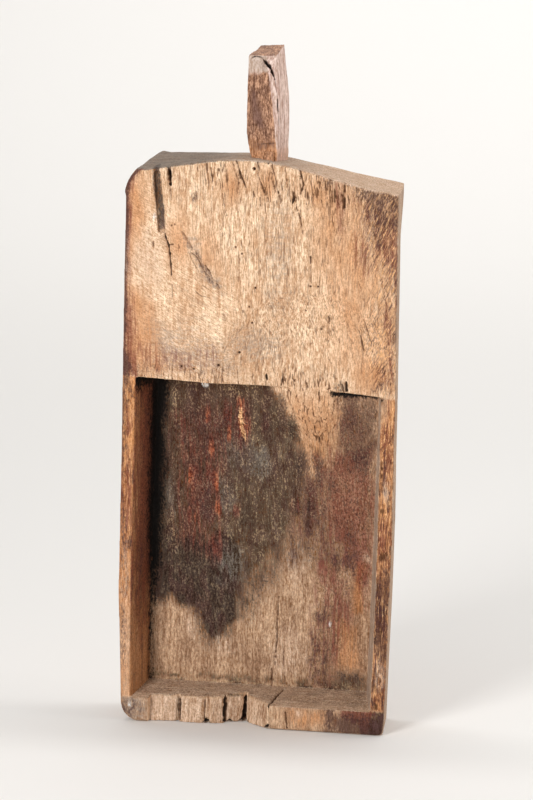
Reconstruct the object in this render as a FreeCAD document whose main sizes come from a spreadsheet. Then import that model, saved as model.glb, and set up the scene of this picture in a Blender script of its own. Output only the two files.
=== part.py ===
import FreeCAD, Part
import math
import os
import Sketcher

# A dugout tray hewn from one thick plank, stood on its end, with a squared stick handle
# let into the top end grain and tightened by a wooden sliver.
# Frame: +Z up the length of the plank, the dug face looks along -Y, X runs across the plank,
# and the origin is the middle of the foot of the plank.

doc = FreeCAD.newDocument("dugout_tray")
sheet = doc.addObject("Spreadsheet::Sheet", "Sizes")

# Driving dimensions in millimetres and degrees: name, value, meaning
SIZES = (
    ("plank_width", 272.5, "widest span of the plank"),
    ("recess_depth", 46.0, "depth of the dug recess below the rims"),
    ("floor_thickness", 20.0, "wood left behind the recess"),
    ("arris", 2.0, "worn chamfer round the front and back outlines"),
    ("side_taper", 9.0, "how far each side runs in towards the back"),
    ("left_bulge_height", 130.0, "height of the widest point on the left side"),
    ("left_foot_inset", 1.0, "left side drawn in at the foot"),
    ("left_top_inset", 10.2, "left side drawn in at the top"),
    ("right_foot_inset", 11.5, "right side drawn in at the foot"),
    ("right_bend_inset", 3.7, "right side drawn in at its bend"),
    ("right_bend_height", 200.0, "height of the bend in the right side"),
    ("foot_radius", 19.0, "rounding of the lower left corner"),
    ("foot_trim", 0.5, "rough wood sawn off below the flat foot"),
    ("crown_height", 552.0, "height where the two top slopes would meet"),
    ("crown_shift", -3.3, "sideways place of that meeting point"),
    ("crown_radius", 240.0, "rounding between the two top slopes"),
    ("back_drop", 2.5, "how much lower the top ends at the back"),
    ("left_slope_front", 8.5, "fall of the top to the left, front edge, degrees"),
    ("left_slope_back", 2.0, "fall of the top to the left, back edge, degrees"),
    ("right_slope_front", 15.3, "fall of the top to the right, front edge, degrees"),
    ("right_slope_back", 11.7, "fall of the top to the right, back edge, degrees"),
    ("corner_cut_width", 13.0, "width of the cut at the upper left corner"),
    ("corner_cut_drop", 21.0, "height of the cut at the upper left corner"),
    ("left_rim_foot", 10.0, "left rim width at the ledge"),
    ("left_rim", 12.5, "left rim width at the bulge"),
    ("left_rim_top", 14.0, "left rim width at the step"),
    ("right_rim", 13.8, "right rim width over the lower recess"),
    ("right_rim_top", 11.5, "right rim width at the step"),
    ("left_draft_foot", 9.0, "lean of the left wall below the bulge, degrees"),
    ("left_draft_top", 11.5, "lean of the left wall at the step, degrees"),
    ("right_draft", 14.5, "lean of the right wall, degrees"),
    ("ledge_height", 23.0, "front height of the foot ledge"),
    ("ledge_rise", 10.0, "rise of the ledge towards the floor, degrees"),
    ("step_height", 332.0, "height of the step that ends the recess, mid width"),
    ("step_fall", 3.2, "fall of the step from left to right, degrees"),
    ("upper_right_depth", 20.0, "recess depth at the upper right corner"),
    ("wear_inset", 86.0, "centre of the worn hollow, from the right side"),
    ("wear_depth", 19.0, "depth of the worn hollow at the step"),
    ("wear_radius", 93.0, "radius of the worn hollow on the front face"),
    ("ramp_radius", 72.0, "reach of the worn ramp over the recess floor"),
    ("break_start", 29.0, "distance from the left side to the first broken chip"),
    ("break_lean", 5.0, "how much less the break is set back at the foot"),
    ("chip_notch_width", 4.0, "width of the split between two chips"),
    ("chip_notch_depth", 5.0, "depth of the split between two chips"),
    ("chip_a_width", 27.5, "first chip of the broken lip"),
    ("chip_a_left", 10.0, "set-back of its left end"),
    ("chip_a_right", 13.5, "set-back of its right end"),
    ("chip_b_width", 30.0, "second chip"),
    ("chip_b_left", 11.5, "set-back of its left end"),
    ("chip_b_right", 12.0, "set-back of its right end"),
    ("chip_c_width", 16.5, "third chip"),
    ("chip_c_left", 12.0, "set-back of its left end"),
    ("chip_c_right", 16.0, "set-back of its right end"),
    ("chip_d_width", 17.5, "fourth chip"),
    ("chip_d_left", 22.0, "set-back of its left end"),
    ("chip_d_right", 26.0, "set-back of its right end"),
    ("chip_e_width", 26.5, "fifth chip"),
    ("chip_e_left", 25.0, "set-back of its left end"),
    ("chip_e_right", 6.0, "set-back of its right end"),
    ("check_inset", 41.5, "drying split: distance from the left side"),
    ("check_drop", 17.0, "drying split: distance below the crown"),
    ("check_length", 58.0, "drying split: length"),
    ("check_width", 6.5, "drying split: width"),
    ("check_slant", 4.0, "drying split: sideways drift over its length"),
    ("check_depth", 4.0, "drying split: depth"),
    ("handle_width", 27.0, "side of the square handle stick at its foot"),
    ("handle_belly", 1.8, "extra width at the middle of the handle"),
    ("handle_top_width", 25.6, "side of the handle at its top"),
    ("handle_lean", 2.5, "sideways lean of the handle at its top"),
    ("handle_twist", 12.7, "turn of the handle against the plank, degrees"),
    ("handle_shift", 5.9, "sideways place of the handle"),
    ("handle_set_back", 2.0, "place of the handle behind mid thickness"),
    ("handle_reach", 92.5, "height of the handle's top over the crown"),
    ("handle_neck", 6.0, "straight length of the handle over the crown"),
    ("handle_slant", 23.0, "slope of the handle's sawn top, degrees"),
    ("facet_foot", 1.5, "facet on the handle's front right arris, at its foot"),
    ("facet_top", 9.0, "the same facet at the top"),
    ("brow_drop", 16.0, "height of the bevel on the top front edge"),
    ("brow_angle", 68.0, "slope of that bevel, degrees"),
    ("tenon_length", 66.0, "depth of the handle below the crown"),
    ("wedge_width", 11.0, "width of the wedge"),
    ("wedge_thickness", 4.6, "thickness of the wedge at its head"),
    ("wedge_tip", 1.2, "thickness of the wedge at its tip"),
    ("wedge_length", 42.0, "length of the wedge"),
    ("wedge_proud", 1.5, "height of the wedge's head over the crown"),
    ("wedge_shift", 5.5, "place of the wedge across the handle's front"),
    ("joint_clearance", 0.2, "gap round the tenon and the wedge"),
)

# How far a cutting profile starts outside the wood
CUT_MARGIN = 8.0
CHIPS = ("a", "b", "c", "d", "e")
ACROSS = FreeCAD.Vector(1, 0, 0)
INWARD = FreeCAD.Vector(0, 1, 0)
UPWARD = FreeCAD.Vector(0, 0, 1)
# Level line across the handle's slanting sawn top
SLANT_AXIS = FreeCAD.Vector(0.935, -0.354, 0)
ORIGIN_POINT = (-1, 1)
START_INDEX = 1
END_INDEX = 2


class Size:
    """A number together with the sheet formula that gives it."""

    def __init__(self, value, formula):
        self.value = value
        self.formula = formula

    def joined(self, other, sign, value):
        return Size(value, f"({self.formula} {sign} {other.formula})")

    def __add__(self, other):
        other = as_size(other)
        return self.joined(other, "+", self.value + other.value)

    def __sub__(self, other):
        other = as_size(other)
        return self.joined(other, "-", self.value - other.value)

    def __mul__(self, other):
        other = as_size(other)
        return self.joined(other, "*", self.value * other.value)

    def __truediv__(self, other):
        other = as_size(other)
        return self.joined(other, "/", self.value / other.value)

    def __neg__(self):
        return Size(-self.value, f"(0 - {self.formula})")


def as_size(number):
    if isinstance(number, Size):
        return number
    return Size(float(number), f"({float(number)})")


def sine(angle):
    return Size(math.sin(math.radians(angle.value)), f"sin({angle.formula})")


def cosine(angle):
    return Size(math.cos(math.radians(angle.value)), f"cos({angle.formula})")


def tangent(angle):
    return Size(math.tan(math.radians(angle.value)), f"tan({angle.formula})")


def fill_sheet():
    """Write the sizes into the sheet and return them by name."""
    named = {}
    for row, (name, value, meaning) in enumerate(SIZES, start=1):
        sheet.set(f"A{row}", meaning)
        sheet.set(f"B{row}", str(value))
        sheet.setAlias(f"B{row}", name)
        named[name] = Size(value, f"Sizes.{name}")
    doc.recompute()
    return named


S = fill_sheet()
ZERO = as_size(0)
FRONT = -(S["recess_depth"] + S["floor_thickness"]) / 2
BACK = -FRONT
HALF_WIDTH = S["plank_width"] / 2
settled_volume = {}


def new_body(name):
    body = doc.addObject("PartDesign::Body", name)
    body.Label = name
    return body


def new_sketch(body, name, role, place, axis=UPWARD, angle=ZERO):
    """A sketch on one of the body's own origin planes, moved by place and turned about axis."""
    base = next(item for item in body.Origin.OriginFeatures if item.Role == role)
    sketch = body.newObject("Sketcher::SketchObject", name)
    sketch.AttachmentSupport = [(base, "")]
    sketch.MapMode = "FlatFace"
    spot = FreeCAD.Vector(*[size.value for size in place])
    sketch.AttachmentOffset = FreeCAD.Placement(spot, FreeCAD.Rotation(axis, angle.value))
    for letter, size in zip("xyz", place):
        sketch.setExpression(f"AttachmentOffset.Base.{letter}", size.formula)
    sketch.setExpression("AttachmentOffset.Rotation.Angle", angle.formula)
    return sketch


def bind(sketch, constraint, size):
    number = sketch.addConstraint(constraint)
    sketch.setExpression(f"Constraints[{number}]", size.formula)


def arc_between(start, end, radius):
    """The short arc from start to end that turns to the left."""
    chord = end - start
    middle = (start + end) * 0.5
    left = FreeCAD.Vector(-chord.y, chord.x, 0)
    left.normalize()
    rise = math.sqrt(max(radius ** 2 - (chord.Length / 2) ** 2, 0.0))
    circle = Part.Circle(middle + left * rise, UPWARD, radius)
    return Part.ArcOfCircle(circle, circle.parameter(start), circle.parameter(end))


def draw(sketch, corners, rounds=None):
    """A closed outline through corners, taken counter-clockwise, each corner bound to the sheet.

    rounds maps an edge's number to the radius that bows it outwards.
    """
    rounds = rounds or {}
    points = [FreeCAD.Vector(u.value, v.value, 0) for u, v in corners]
    count = len(points)
    for edge in range(count):
        start = points[edge]
        end = points[(edge + 1) % count]
        if edge in rounds:
            sketch.addGeometry(arc_between(start, end, rounds[edge].value))
        else:
            sketch.addGeometry(Part.LineSegment(start, end))
    for edge in range(count):
        following = (edge + 1) % count
        sketch.addConstraint(Sketcher.Constraint("Coincident", edge, END_INDEX, following, START_INDEX))
    for edge, (u, v) in enumerate(corners):
        bind(sketch, Sketcher.Constraint("DistanceX", *ORIGIN_POINT, edge, START_INDEX, u.value), u)
        bind(sketch, Sketcher.Constraint("DistanceY", *ORIGIN_POINT, edge, START_INDEX, v.value), v)
    for edge, radius in rounds.items():
        bind(sketch, Sketcher.Constraint("Radius", edge, radius.value), radius)


def rectangle(left, right, low, high):
    return [(left, low), (right, low), (right, high), (left, high)]


def loft(body, kind, name, sketches, ruled):
    feature = body.newObject(kind, name)
    feature.Profile = sketches[0]
    feature.Sections = sketches[1:]
    feature.Ruled = ruled
    return feature


def settle(body, grows):
    """Recompute and make sure that the newest feature added or removed wood as it should."""
    before = settled_volume.get(body.Name, 0.0)
    doc.recompute()
    after = body.Shape.Volume
    if (after > before) != grows:
        raise RuntimeError(f"{body.Tip.Name} left {body.Name} at {after:.0f} mm3")
    settled_volume[body.Name] = after


# Outline of the plank

def plank_outline(taper, edge, drop, slope_left, slope_right):
    """Corners of the plank's outline: sides run in by taper, top lowered by drop, all edges in by edge."""
    left = -HALF_WIDTH + taper + edge
    right = HALF_WIDTH - taper - edge
    left_foot = left + S["left_foot_inset"]
    left_top = left + S["left_top_inset"]
    cut_end = left_top + S["corner_cut_width"]
    rough_foot = edge - S["foot_trim"]
    crown_top = S["crown_height"] - drop - edge
    crown_run = S["crown_radius"] * tangent((slope_left + slope_right) / 2)
    cut_end_z = crown_top - (S["crown_shift"] - cut_end) * tangent(slope_left)
    right_top_z = crown_top - (right - S["crown_shift"]) * tangent(slope_right)
    corners = [
        (left_foot + S["foot_radius"], rough_foot),
        (right - S["right_foot_inset"], rough_foot),
        (right - S["right_bend_inset"], S["right_bend_height"]),
        (right, right_top_z),
        (S["crown_shift"] + crown_run * cosine(slope_right), crown_top - crown_run * sine(slope_right)),
        (S["crown_shift"] - crown_run * cosine(slope_left), crown_top - crown_run * sine(slope_left)),
        (cut_end, cut_end_z),
        (left_top, cut_end_z - S["corner_cut_drop"]),
        (left, S["left_bulge_height"]),
        (left_foot, rough_foot + S["foot_radius"]),
    ]
    crown_edge_index = 4
    foot_edge_index = 9
    return corners, {crown_edge_index: S["crown_radius"], foot_edge_index: S["foot_radius"]}


def hew_plank(body):
    arris = S["arris"]
    front_slopes = (S["left_slope_front"], S["right_slope_front"])
    back_slopes = (S["left_slope_back"], S["right_slope_back"])
    levels = (
        ("front_arris", FRONT, ZERO, arris, ZERO, front_slopes),
        ("front_outline", FRONT + arris, ZERO, ZERO, ZERO, front_slopes),
        ("back_outline", BACK - arris, S["side_taper"], ZERO, S["back_drop"], back_slopes),
        ("back_arris", BACK, S["side_taper"], arris, S["back_drop"], back_slopes),
    )
    sketches = []
    for name, depth, taper, edge, drop, slopes in levels:
        sketch = new_sketch(body, name, "XZ_Plane", (ZERO, ZERO, -depth))
        draw(sketch, *plank_outline(taper, edge, drop, *slopes))
        sketches.append(sketch)
    loft(body, "PartDesign::AdditiveLoft", "hewn_plank", sketches, True)
    settle(body, grows=True)


def saw_foot(body):
    """Saw the foot level, so that the plank stands on one flat face."""
    waste = new_sketch(body, "foot_waste", "XZ_Plane", (ZERO, ZERO, ZERO))
    reach = HALF_WIDTH + CUT_MARGIN
    draw(waste, rectangle(-reach, reach, -(S["foot_trim"] + CUT_MARGIN), ZERO))
    cut = body.newObject("PartDesign::Pocket", "sawn_foot")
    cut.Profile = waste
    cut.Type = "ThroughAll"
    cut.Midplane = True
    settle(body, grows=False)


# Recess

def left_side_at(height):
    """Front face x of the plank's left side above its widest point."""
    top = S["crown_height"] - S["corner_cut_drop"]
    share = (height - S["left_bulge_height"]) / (top - S["left_bulge_height"])
    return -HALF_WIDTH + S["left_top_inset"] * share


def right_side_at(height):
    """Front face x of the plank's right side below its bend."""
    share = height / S["right_bend_height"]
    foot = HALF_WIDTH - S["right_foot_inset"]
    return foot + (S["right_foot_inset"] - S["right_bend_inset"]) * share


def recess_section(left, right, left_depth, right_depth, left_draft):
    """Cross-section of the recess between two rim edges; depth runs from the front face."""
    margin = as_size(CUT_MARGIN)
    left_lean = tangent(left_draft)
    right_lean = tangent(S["right_draft"])
    return [
        (left - margin * left_lean, -margin),
        (right + margin * right_lean, -margin),
        (right - right_depth * right_lean, right_depth),
        (left + left_depth * left_lean, left_depth),
    ]


def dig_recess(body):
    depth = S["recess_depth"]
    ledge = new_sketch(body, "ledge_section", "XY_Plane", (ZERO, FRONT, S["ledge_height"]),
                       ACROSS, S["ledge_rise"])
    ledge_run = depth / cosine(S["ledge_rise"])
    ledge_left = -HALF_WIDTH + S["left_foot_inset"] + S["left_rim_foot"]
    ledge_right = right_side_at(S["ledge_height"]) - S["right_rim"]
    draw(ledge, recess_section(ledge_left, ledge_right, ledge_run, ledge_run, S["left_draft_foot"]))

    bulge = new_sketch(body, "bulge_section", "XY_Plane", (ZERO, FRONT, S["left_bulge_height"]))
    bulge_left = -HALF_WIDTH + S["left_rim"]
    bulge_right = right_side_at(S["left_bulge_height"]) - S["right_rim"]
    draw(bulge, recess_section(bulge_left, bulge_right, depth, depth, S["left_draft_foot"]))

    step = new_sketch(body, "step_section", "XY_Plane", (ZERO, FRONT, S["step_height"]),
                      INWARD, S["step_fall"])
    step_left = left_side_at(S["step_height"]) + S["left_rim_top"]
    step_right = HALF_WIDTH - S["right_bend_inset"] - S["right_rim_top"]
    draw(step, recess_section(step_left, step_right, depth, S["upper_right_depth"],
                              S["left_draft_top"]))
    loft(body, "PartDesign::SubtractiveLoft", "dug_recess", [ledge, bulge, step], True)
    settle(body, grows=False)


def cap_radius(reach, height):
    """Radius of the sphere whose cap has this base radius and height."""
    return (reach * reach + height * height) / (height * 2)


def wear_ramp(body):
    """Leave a domed ramp on the floor, then rub one smooth hollow across it and the upper face."""
    place = (HALF_WIDTH - S["wear_inset"], FRONT, S["step_height"])
    low = S["recess_depth"]
    rooted = low + S["floor_thickness"] / 2
    ramp = new_sketch(body, "ramp_profile", "XY_Plane", place)
    draw(ramp, [(ZERO, S["wear_depth"]), (S["ramp_radius"], low), (S["ramp_radius"], rooted),
                (ZERO, rooted)],
         {0: cap_radius(S["ramp_radius"], low - S["wear_depth"])})
    dome = body.newObject("PartDesign::Revolution", "worn_ramp")
    dome.Profile = ramp
    dome.ReferenceAxis = (ramp, ["V_Axis"])
    dome.Angle = 360
    settle(body, grows=True)

    hollow = new_sketch(body, "hollow_profile", "XY_Plane", place)
    margin = as_size(-CUT_MARGIN)
    draw(hollow, [(ZERO, margin), (S["wear_radius"], margin), (S["wear_radius"], ZERO),
                  (ZERO, S["wear_depth"])],
         {2: cap_radius(S["wear_radius"], S["wear_depth"])})
    rub = body.newObject("PartDesign::Groove", "worn_hollow")
    rub.Profile = hollow
    rub.ReferenceAxis = (hollow, ["V_Axis"])
    rub.Angle = 360
    settle(body, grows=False)


# Damage that is part of the shape

def chip_line(lean):
    """Plan of the broken lip: one straight chip after another with a split between them."""
    start = -HALF_WIDTH + S["break_start"]
    half_notch = S["chip_notch_width"] / 2
    outside = FRONT - CUT_MARGIN - S["break_lean"]
    line = []
    x = start
    for number, chip in enumerate(CHIPS):
        end = x + S[f"chip_{chip}_width"]
        left_back = FRONT + S[f"chip_{chip}_left"] - lean
        right_back = FRONT + S[f"chip_{chip}_right"] - lean
        first = x if number == 0 else x + half_notch
        last = end if number == len(CHIPS) - 1 else end - half_notch
        line += [(first, left_back), (last, right_back)]
        if number < len(CHIPS) - 1:
            line.append((end, right_back + S["chip_notch_depth"]))
        x = end
    return [(start, outside), (x, outside)] + line[::-1]


def break_lip(body):
    foot = new_sketch(body, "break_foot", "XY_Plane", (ZERO, ZERO, ZERO))
    draw(foot, chip_line(S["break_lean"]))
    brow = new_sketch(body, "break_brow", "XY_Plane", (ZERO, ZERO, S["ledge_height"] * 2))
    draw(brow, chip_line(-S["break_lean"]))
    loft(body, "PartDesign::SubtractiveLoft", "broken_lip", [foot, brow], True)
    settle(body, grows=False)


def open_check(body):
    """The shallow drying split near the upper left corner."""
    half = S["check_width"] / 2
    middle = -HALF_WIDTH + S["check_inset"]
    top = S["crown_height"] - S["check_drop"]
    low = top - S["check_length"]
    foot = middle + S["check_slant"]
    split = new_sketch(body, "check_outline", "XZ_Plane", (ZERO, ZERO, -FRONT))
    draw(split, [(foot - half, low), (foot + half, low), (middle + half, top), (middle - half, top)])
    pocket = body.newObject("PartDesign::Pocket", "drying_check")
    pocket.Profile = split
    pocket.setExpression("Length", S["check_depth"].formula)
    settle(body, grows=False)


# Handle joint

def handle_sketch(body, name, height):
    """A level sketch centred on the handle and turned with it."""
    place = (S["handle_shift"], S["handle_set_back"], height)
    return new_sketch(body, name, "XY_Plane", place, UPWARD, -S["handle_twist"])


def wedge_outline(thickness, room):
    """Plan of the wedge against the handle's front face, grown by room on its free sides."""
    near = -S["handle_width"] / 2 - S["joint_clearance"]
    half = S["wedge_width"] / 2 + room
    return rectangle(S["wedge_shift"] - half, S["wedge_shift"] + half, near - thickness - room, near + room)


def wedge_loft(body, kind, name, room):
    head_height = S["crown_height"] + S["wedge_proud"]
    head = handle_sketch(body, f"{name}_head", head_height)
    draw(head, wedge_outline(S["wedge_thickness"], room))
    tip = handle_sketch(body, f"{name}_tip", head_height - S["wedge_length"])
    draw(tip, wedge_outline(S["wedge_tip"], room))
    loft(body, kind, name, [head, tip], True)


def cut_socket(body):
    half = S["handle_width"] / 2 + S["joint_clearance"]
    mouth = handle_sketch(body, "socket_mouth", S["crown_height"])
    draw(mouth, rectangle(-half, half, -half, half))
    socket = body.newObject("PartDesign::Pocket", "handle_socket")
    socket.Profile = mouth
    socket.setExpression("Length", S["tenon_length"].formula)
    settle(body, grows=False)
    wedge_loft(body, "PartDesign::SubtractiveLoft", "wedge_slot", S["joint_clearance"])
    settle(body, grows=False)


def handle_section(width, facet, lean):
    """Square section with one arris, the front right one, cut to a facet."""
    half = width / 2
    return [
        (-half - lean, -half),
        (half - facet - lean, -half),
        (half - lean, facet - half),
        (half - lean, half),
        (-half - lean, half),
    ]


def saw_off(body, name, place, axis, angle):
    """Remove everything on the upper side of a tilted plane through place."""
    reach = S["handle_width"] * 2
    plane = new_sketch(body, f"{name}_plane", "XY_Plane", place, axis, angle)
    draw(plane, rectangle(-reach, reach, -reach, reach))
    cut = body.newObject("PartDesign::Pocket", name)
    cut.Profile = plane
    cut.Reversed = True
    cut.setExpression("Length", reach.formula)
    settle(body, grows=False)


def make_handle():
    body = new_body("handle")
    neck_height = S["crown_height"] + S["handle_neck"]
    top_height = S["crown_height"] + S["handle_reach"]
    blank_top = top_height + S["handle_width"] / 2

    foot = handle_sketch(body, "tenon_end", S["crown_height"] - S["tenon_length"])
    draw(foot, handle_section(S["handle_width"], S["facet_foot"], ZERO))
    tenon = body.newObject("PartDesign::Pad", "tenon")
    tenon.Profile = foot
    tenon.setExpression("Length", (S["tenon_length"] + S["handle_neck"]).formula)
    settle(body, grows=True)

    neck = handle_sketch(body, "neck_section", neck_height)
    draw(neck, handle_section(S["handle_width"], S["facet_foot"], ZERO))
    belly = handle_sketch(body, "belly_section", (neck_height + top_height) / 2)
    draw(belly, handle_section(S["handle_width"] + S["handle_belly"],
                               (S["facet_foot"] + S["facet_top"]) / 2, S["handle_lean"] / 4))
    crest = handle_sketch(body, "crest_section", blank_top)
    draw(crest, handle_section(S["handle_top_width"], S["facet_top"], S["handle_lean"]))
    loft(body, "PartDesign::AdditiveLoft", "grip", [neck, belly, crest], False)
    settle(body, grows=True)

    saw_off(body, "sawn_top", (S["handle_shift"], S["handle_set_back"], top_height),
            SLANT_AXIS, S["handle_slant"])
    front_face = S["handle_width"] / 2
    brow_place = (S["handle_shift"] - sine(S["handle_twist"]) * front_face,
                  S["handle_set_back"] - cosine(S["handle_twist"]) * front_face,
                  top_height - S["brow_drop"])
    saw_off(body, "brow_bevel", brow_place, ACROSS, S["brow_angle"])
    return body


def make_wedge():
    body = new_body("handle_wedge")
    wedge_loft(body, "PartDesign::AdditiveLoft", "wedge", ZERO)
    settle(body, grows=True)
    return body


def make_tray():
    body = new_body("tray_block")
    hew_plank(body)
    saw_foot(body)
    dig_recess(body)
    wear_ramp(body)
    break_lip(body)
    open_check(body)
    cut_socket(body)
    return body


def check_and_write(bodies):
    for item in doc.Objects:
        if "Invalid" in item.State or "Error" in item.State:
            raise RuntimeError(f"{item.Name} failed: {item.State}")
    for body in bodies:
        if body.Shape.isNull() or not body.Shape.isValid() or len(body.Shape.Solids) != 1:
            raise RuntimeError(f"{body.Label} isn't one valid solid")
    os.makedirs("parts", exist_ok=True)
    for body in bodies:
        body.Shape.exportStep(f"parts/{body.Label}.step")
        box = body.Shape.optimalBoundingBox(True, False)
        print(f"{body.Label}: {body.Shape.Volume / 1000:.1f} cm3, "
              f"x {box.XMin:.1f} to {box.XMax:.1f}, y {box.YMin:.1f} to {box.YMax:.1f}, "
              f"z {box.ZMin:.1f} to {box.ZMax:.1f}")


check_and_write([make_tray(), make_handle(), make_wedge()])
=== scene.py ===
import math

import bmesh
import bpy
import numpy as np
from bpy.props import FloatProperty, FloatVectorProperty, IntProperty, PointerProperty
from bpy.types import Operator, Panel, PropertyGroup
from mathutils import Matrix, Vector


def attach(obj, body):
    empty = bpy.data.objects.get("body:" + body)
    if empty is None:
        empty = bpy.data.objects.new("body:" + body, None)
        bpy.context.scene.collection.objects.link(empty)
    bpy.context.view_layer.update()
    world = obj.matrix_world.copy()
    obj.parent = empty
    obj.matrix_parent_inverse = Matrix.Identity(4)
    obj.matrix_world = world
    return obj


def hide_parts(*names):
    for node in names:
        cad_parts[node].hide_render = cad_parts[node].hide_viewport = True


bl_info = {
    "name": "Dugout Tray",
    "version": (1, 0, 0),
    "blender": (4, 5, 0),
    "location": "3D View > Sidebar > Dugout Tray",
    "description": "Dresses a hewn wooden tray and its handle in worn, stained and split wood",
    "category": "Add Mesh",
}

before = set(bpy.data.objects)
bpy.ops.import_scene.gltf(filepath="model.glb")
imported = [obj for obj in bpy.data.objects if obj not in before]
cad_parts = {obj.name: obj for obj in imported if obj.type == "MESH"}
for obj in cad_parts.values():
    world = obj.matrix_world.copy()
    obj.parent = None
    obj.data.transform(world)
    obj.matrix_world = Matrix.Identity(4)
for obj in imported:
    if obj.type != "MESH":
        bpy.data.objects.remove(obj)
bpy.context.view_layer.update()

MM = 0.001
MERGE_REACH = 0.001 * MM


def paint(red, green, blue):
    """A colour mixed on screen, 0 to 255 each, as the linear values that Blender works in."""
    channels = []
    for level in (red, green, blue):
        share = level / 255
        channels.append(share / 12.92 if share <= 0.04045 else ((share + 0.055) / 1.055) ** 2.4)
    return tuple(channels)


# Settings that a user would change

def colour_setting(name, description, red, green, blue):
    return FloatVectorProperty(name=name, description=description, subtype="COLOR", size=3,
                               min=0.0, max=1.0, default=paint(red, green, blue))


def length_setting(name, description, millimetres):
    return FloatProperty(name=name, description=description, subtype="DISTANCE", unit="LENGTH",
                         default=millimetres * MM, precision=5)


class TraySettings(PropertyGroup):
    """Sizes of the tray's surface work and the colours of its wood."""

    detail: length_setting("Detail", "Size of the finest facets before thinning", 1.0)
    triangles: IntProperty(name="Triangles", description="Most triangles kept on the tray",
                           default=196000, min=1000)
    hew_depth: length_setting("Hewing", "Depth of the shallow waves left by the adze", 0.55)
    tear_depth: length_setting("Fibre tears", "Depth of the torn fibres on the upper face", 1.1)
    rim_depth: length_setting("Rim damage", "Depth of the damage on the right rim", 2.2)
    chip_depth: length_setting("Chip fibres", "Depth of the split fibres on the broken lip", 1.0)
    bare_light: colour_setting("Bare wood, light", "Light fibres of the bare wood", 247, 214, 180)
    bare_dark: colour_setting("Bare wood, dark", "Dark fibres of the bare wood", 200, 154, 116)
    fleck: colour_setting("Fleck", "Torn dark fibres", 128, 86, 58)
    bark: colour_setting("Open fibre", "Brown inside of narrow splits", 92, 56, 32)
    dug_light: colour_setting("Dug wood, light", "Light fibres of the recess", 210, 172, 138)
    dug_dark: colour_setting("Dug wood, dark", "Dark fibres of the recess", 142, 106, 80)
    amber: colour_setting("Amber", "Orange-brown handling tint", 196, 126, 68)
    ember: colour_setting("Ember", "Orange streaks on the stains", 158, 80, 50)
    rust: colour_setting("Rust", "Red-brown stain", 116, 54, 42)
    soot: colour_setting("Soot", "Charcoal stain", 44, 34, 31)
    ash: colour_setting("Ash", "Grey film in the recess", 106, 98, 90)
    dust: colour_setting("Dust", "Dusty light grains on the stains", 168, 136, 98)
    dusk: colour_setting("Dusk", "Purple-brown stain", 74, 46, 42)
    grey: colour_setting("Weathered", "Grey weathered wood", 160, 142, 128)
    pale: colour_setting("Fresh split", "Pale wood of fresh splits", 216, 182, 154)
    fresh: colour_setting("Frayed", "Light frayed fibres", 236, 182, 130)
    chalk: colour_setting("Chalk", "White fleck", 240, 237, 232)
    # Painted shade as well as some dirt: this black paints the cast shadows in the recess corner and
    # under the step, and the shade in deep splits and gaps.
    grime: colour_setting("Grime", "Black dirt in corners", 14, 8, 5)


class HandleSettings(PropertyGroup):
    """Sizes of the handle's surface work and the colours of its wood."""

    detail: length_setting("Detail", "Size of the finest facets before thinning", 0.6)
    triangles: IntProperty(name="Triangles", description="Most triangles kept on the handle",
                           default=70000, min=1000)
    tear_depth: length_setting("Fibre tears", "Depth of the torn fibres on the front", 0.8)
    rubbed_light: colour_setting("Rubbed wood, light", "Light fibres of the rubbed sides", 226, 200, 186)
    rubbed_dark: colour_setting("Rubbed wood, dark", "Dark fibres of the rubbed sides", 190, 156, 142)
    rough_light: colour_setting("Rough wood, light", "Light fibres of the rough front", 188, 142, 112)
    rough_dark: colour_setting("Rough wood, dark", "Dark fibres of the rough front", 112, 76, 58)
    sawn: colour_setting("Sawn", "Pale sawn bevel", 188, 166, 150)
    dusk: colour_setting("Dusk", "Purple-brown stain", 92, 62, 56)
    amber: colour_setting("Amber", "Orange fibres at the foot", 204, 148, 106)
    # Painted shade: the black inside the handle's open splits.
    grime: colour_setting("Grime", "Black of the open split", 24, 15, 10)


class StageSettings(PropertyGroup):
    """Camera, lights and floor."""

    azimuth: FloatProperty(name="Azimuth", description="Camera turned to the right of the dug face",
                           subtype="ANGLE", default=math.radians(13))
    elevation: FloatProperty(name="Elevation", description="Camera above the middle of the tray",
                             subtype="ANGLE", default=math.radians(9.5))
    distance: length_setting("Distance", "Camera to the middle of the tray", 2865)
    lens: FloatProperty(name="Lens", description="Focal length on a 36 mm film side, in millimetres",
                        default=135.0)
    target: FloatVectorProperty(name="Target", description="Point in the middle of the picture",
                                subtype="TRANSLATION", unit="LENGTH",
                                default=(3.15 * MM, 0.0, 315.1 * MM))
    key_power: FloatProperty(name="Key light", description="Power of the front left light",
                             subtype="POWER", default=46.0)
    side_power: FloatProperty(name="Side light", description="Power of the light on the right side",
                              subtype="POWER", default=20.0)
    top_power: FloatProperty(name="Top light", description="Power of the light from above",
                             subtype="POWER", default=58.0)
    backdrop_power: FloatProperty(name="Backdrop light",
                                  description="Power of the light on the backdrop",
                                  subtype="POWER", default=92.0)
    room_light: FloatProperty(name="Room light", description="Strength of the even light of the room",
                              default=0.34)
    floor: colour_setting("Floor", "Plain pale floor", 238, 235, 231)


# Repeatable noise and simple measures, all in millimetres

def lattice(corner, seed):
    """A repeatable value from 0 to 1 at each whole-number point."""
    mixed = (corner[:, 0].astype(np.uint32) * np.uint32(0x8DA6B343)
             ^ corner[:, 1].astype(np.uint32) * np.uint32(0xD8163841)
             ^ corner[:, 2].astype(np.uint32) * np.uint32(0xCB1AB31F)
             ^ np.uint32(seed * 747796405 % 2**32))
    mixed = (mixed ^ (mixed >> np.uint32(15))) * np.uint32(0x2C1B3C6D)
    mixed = (mixed ^ (mixed >> np.uint32(12))) * np.uint32(0x297A2D39)
    mixed = mixed ^ (mixed >> np.uint32(15))
    return mixed / 2**32


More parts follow.
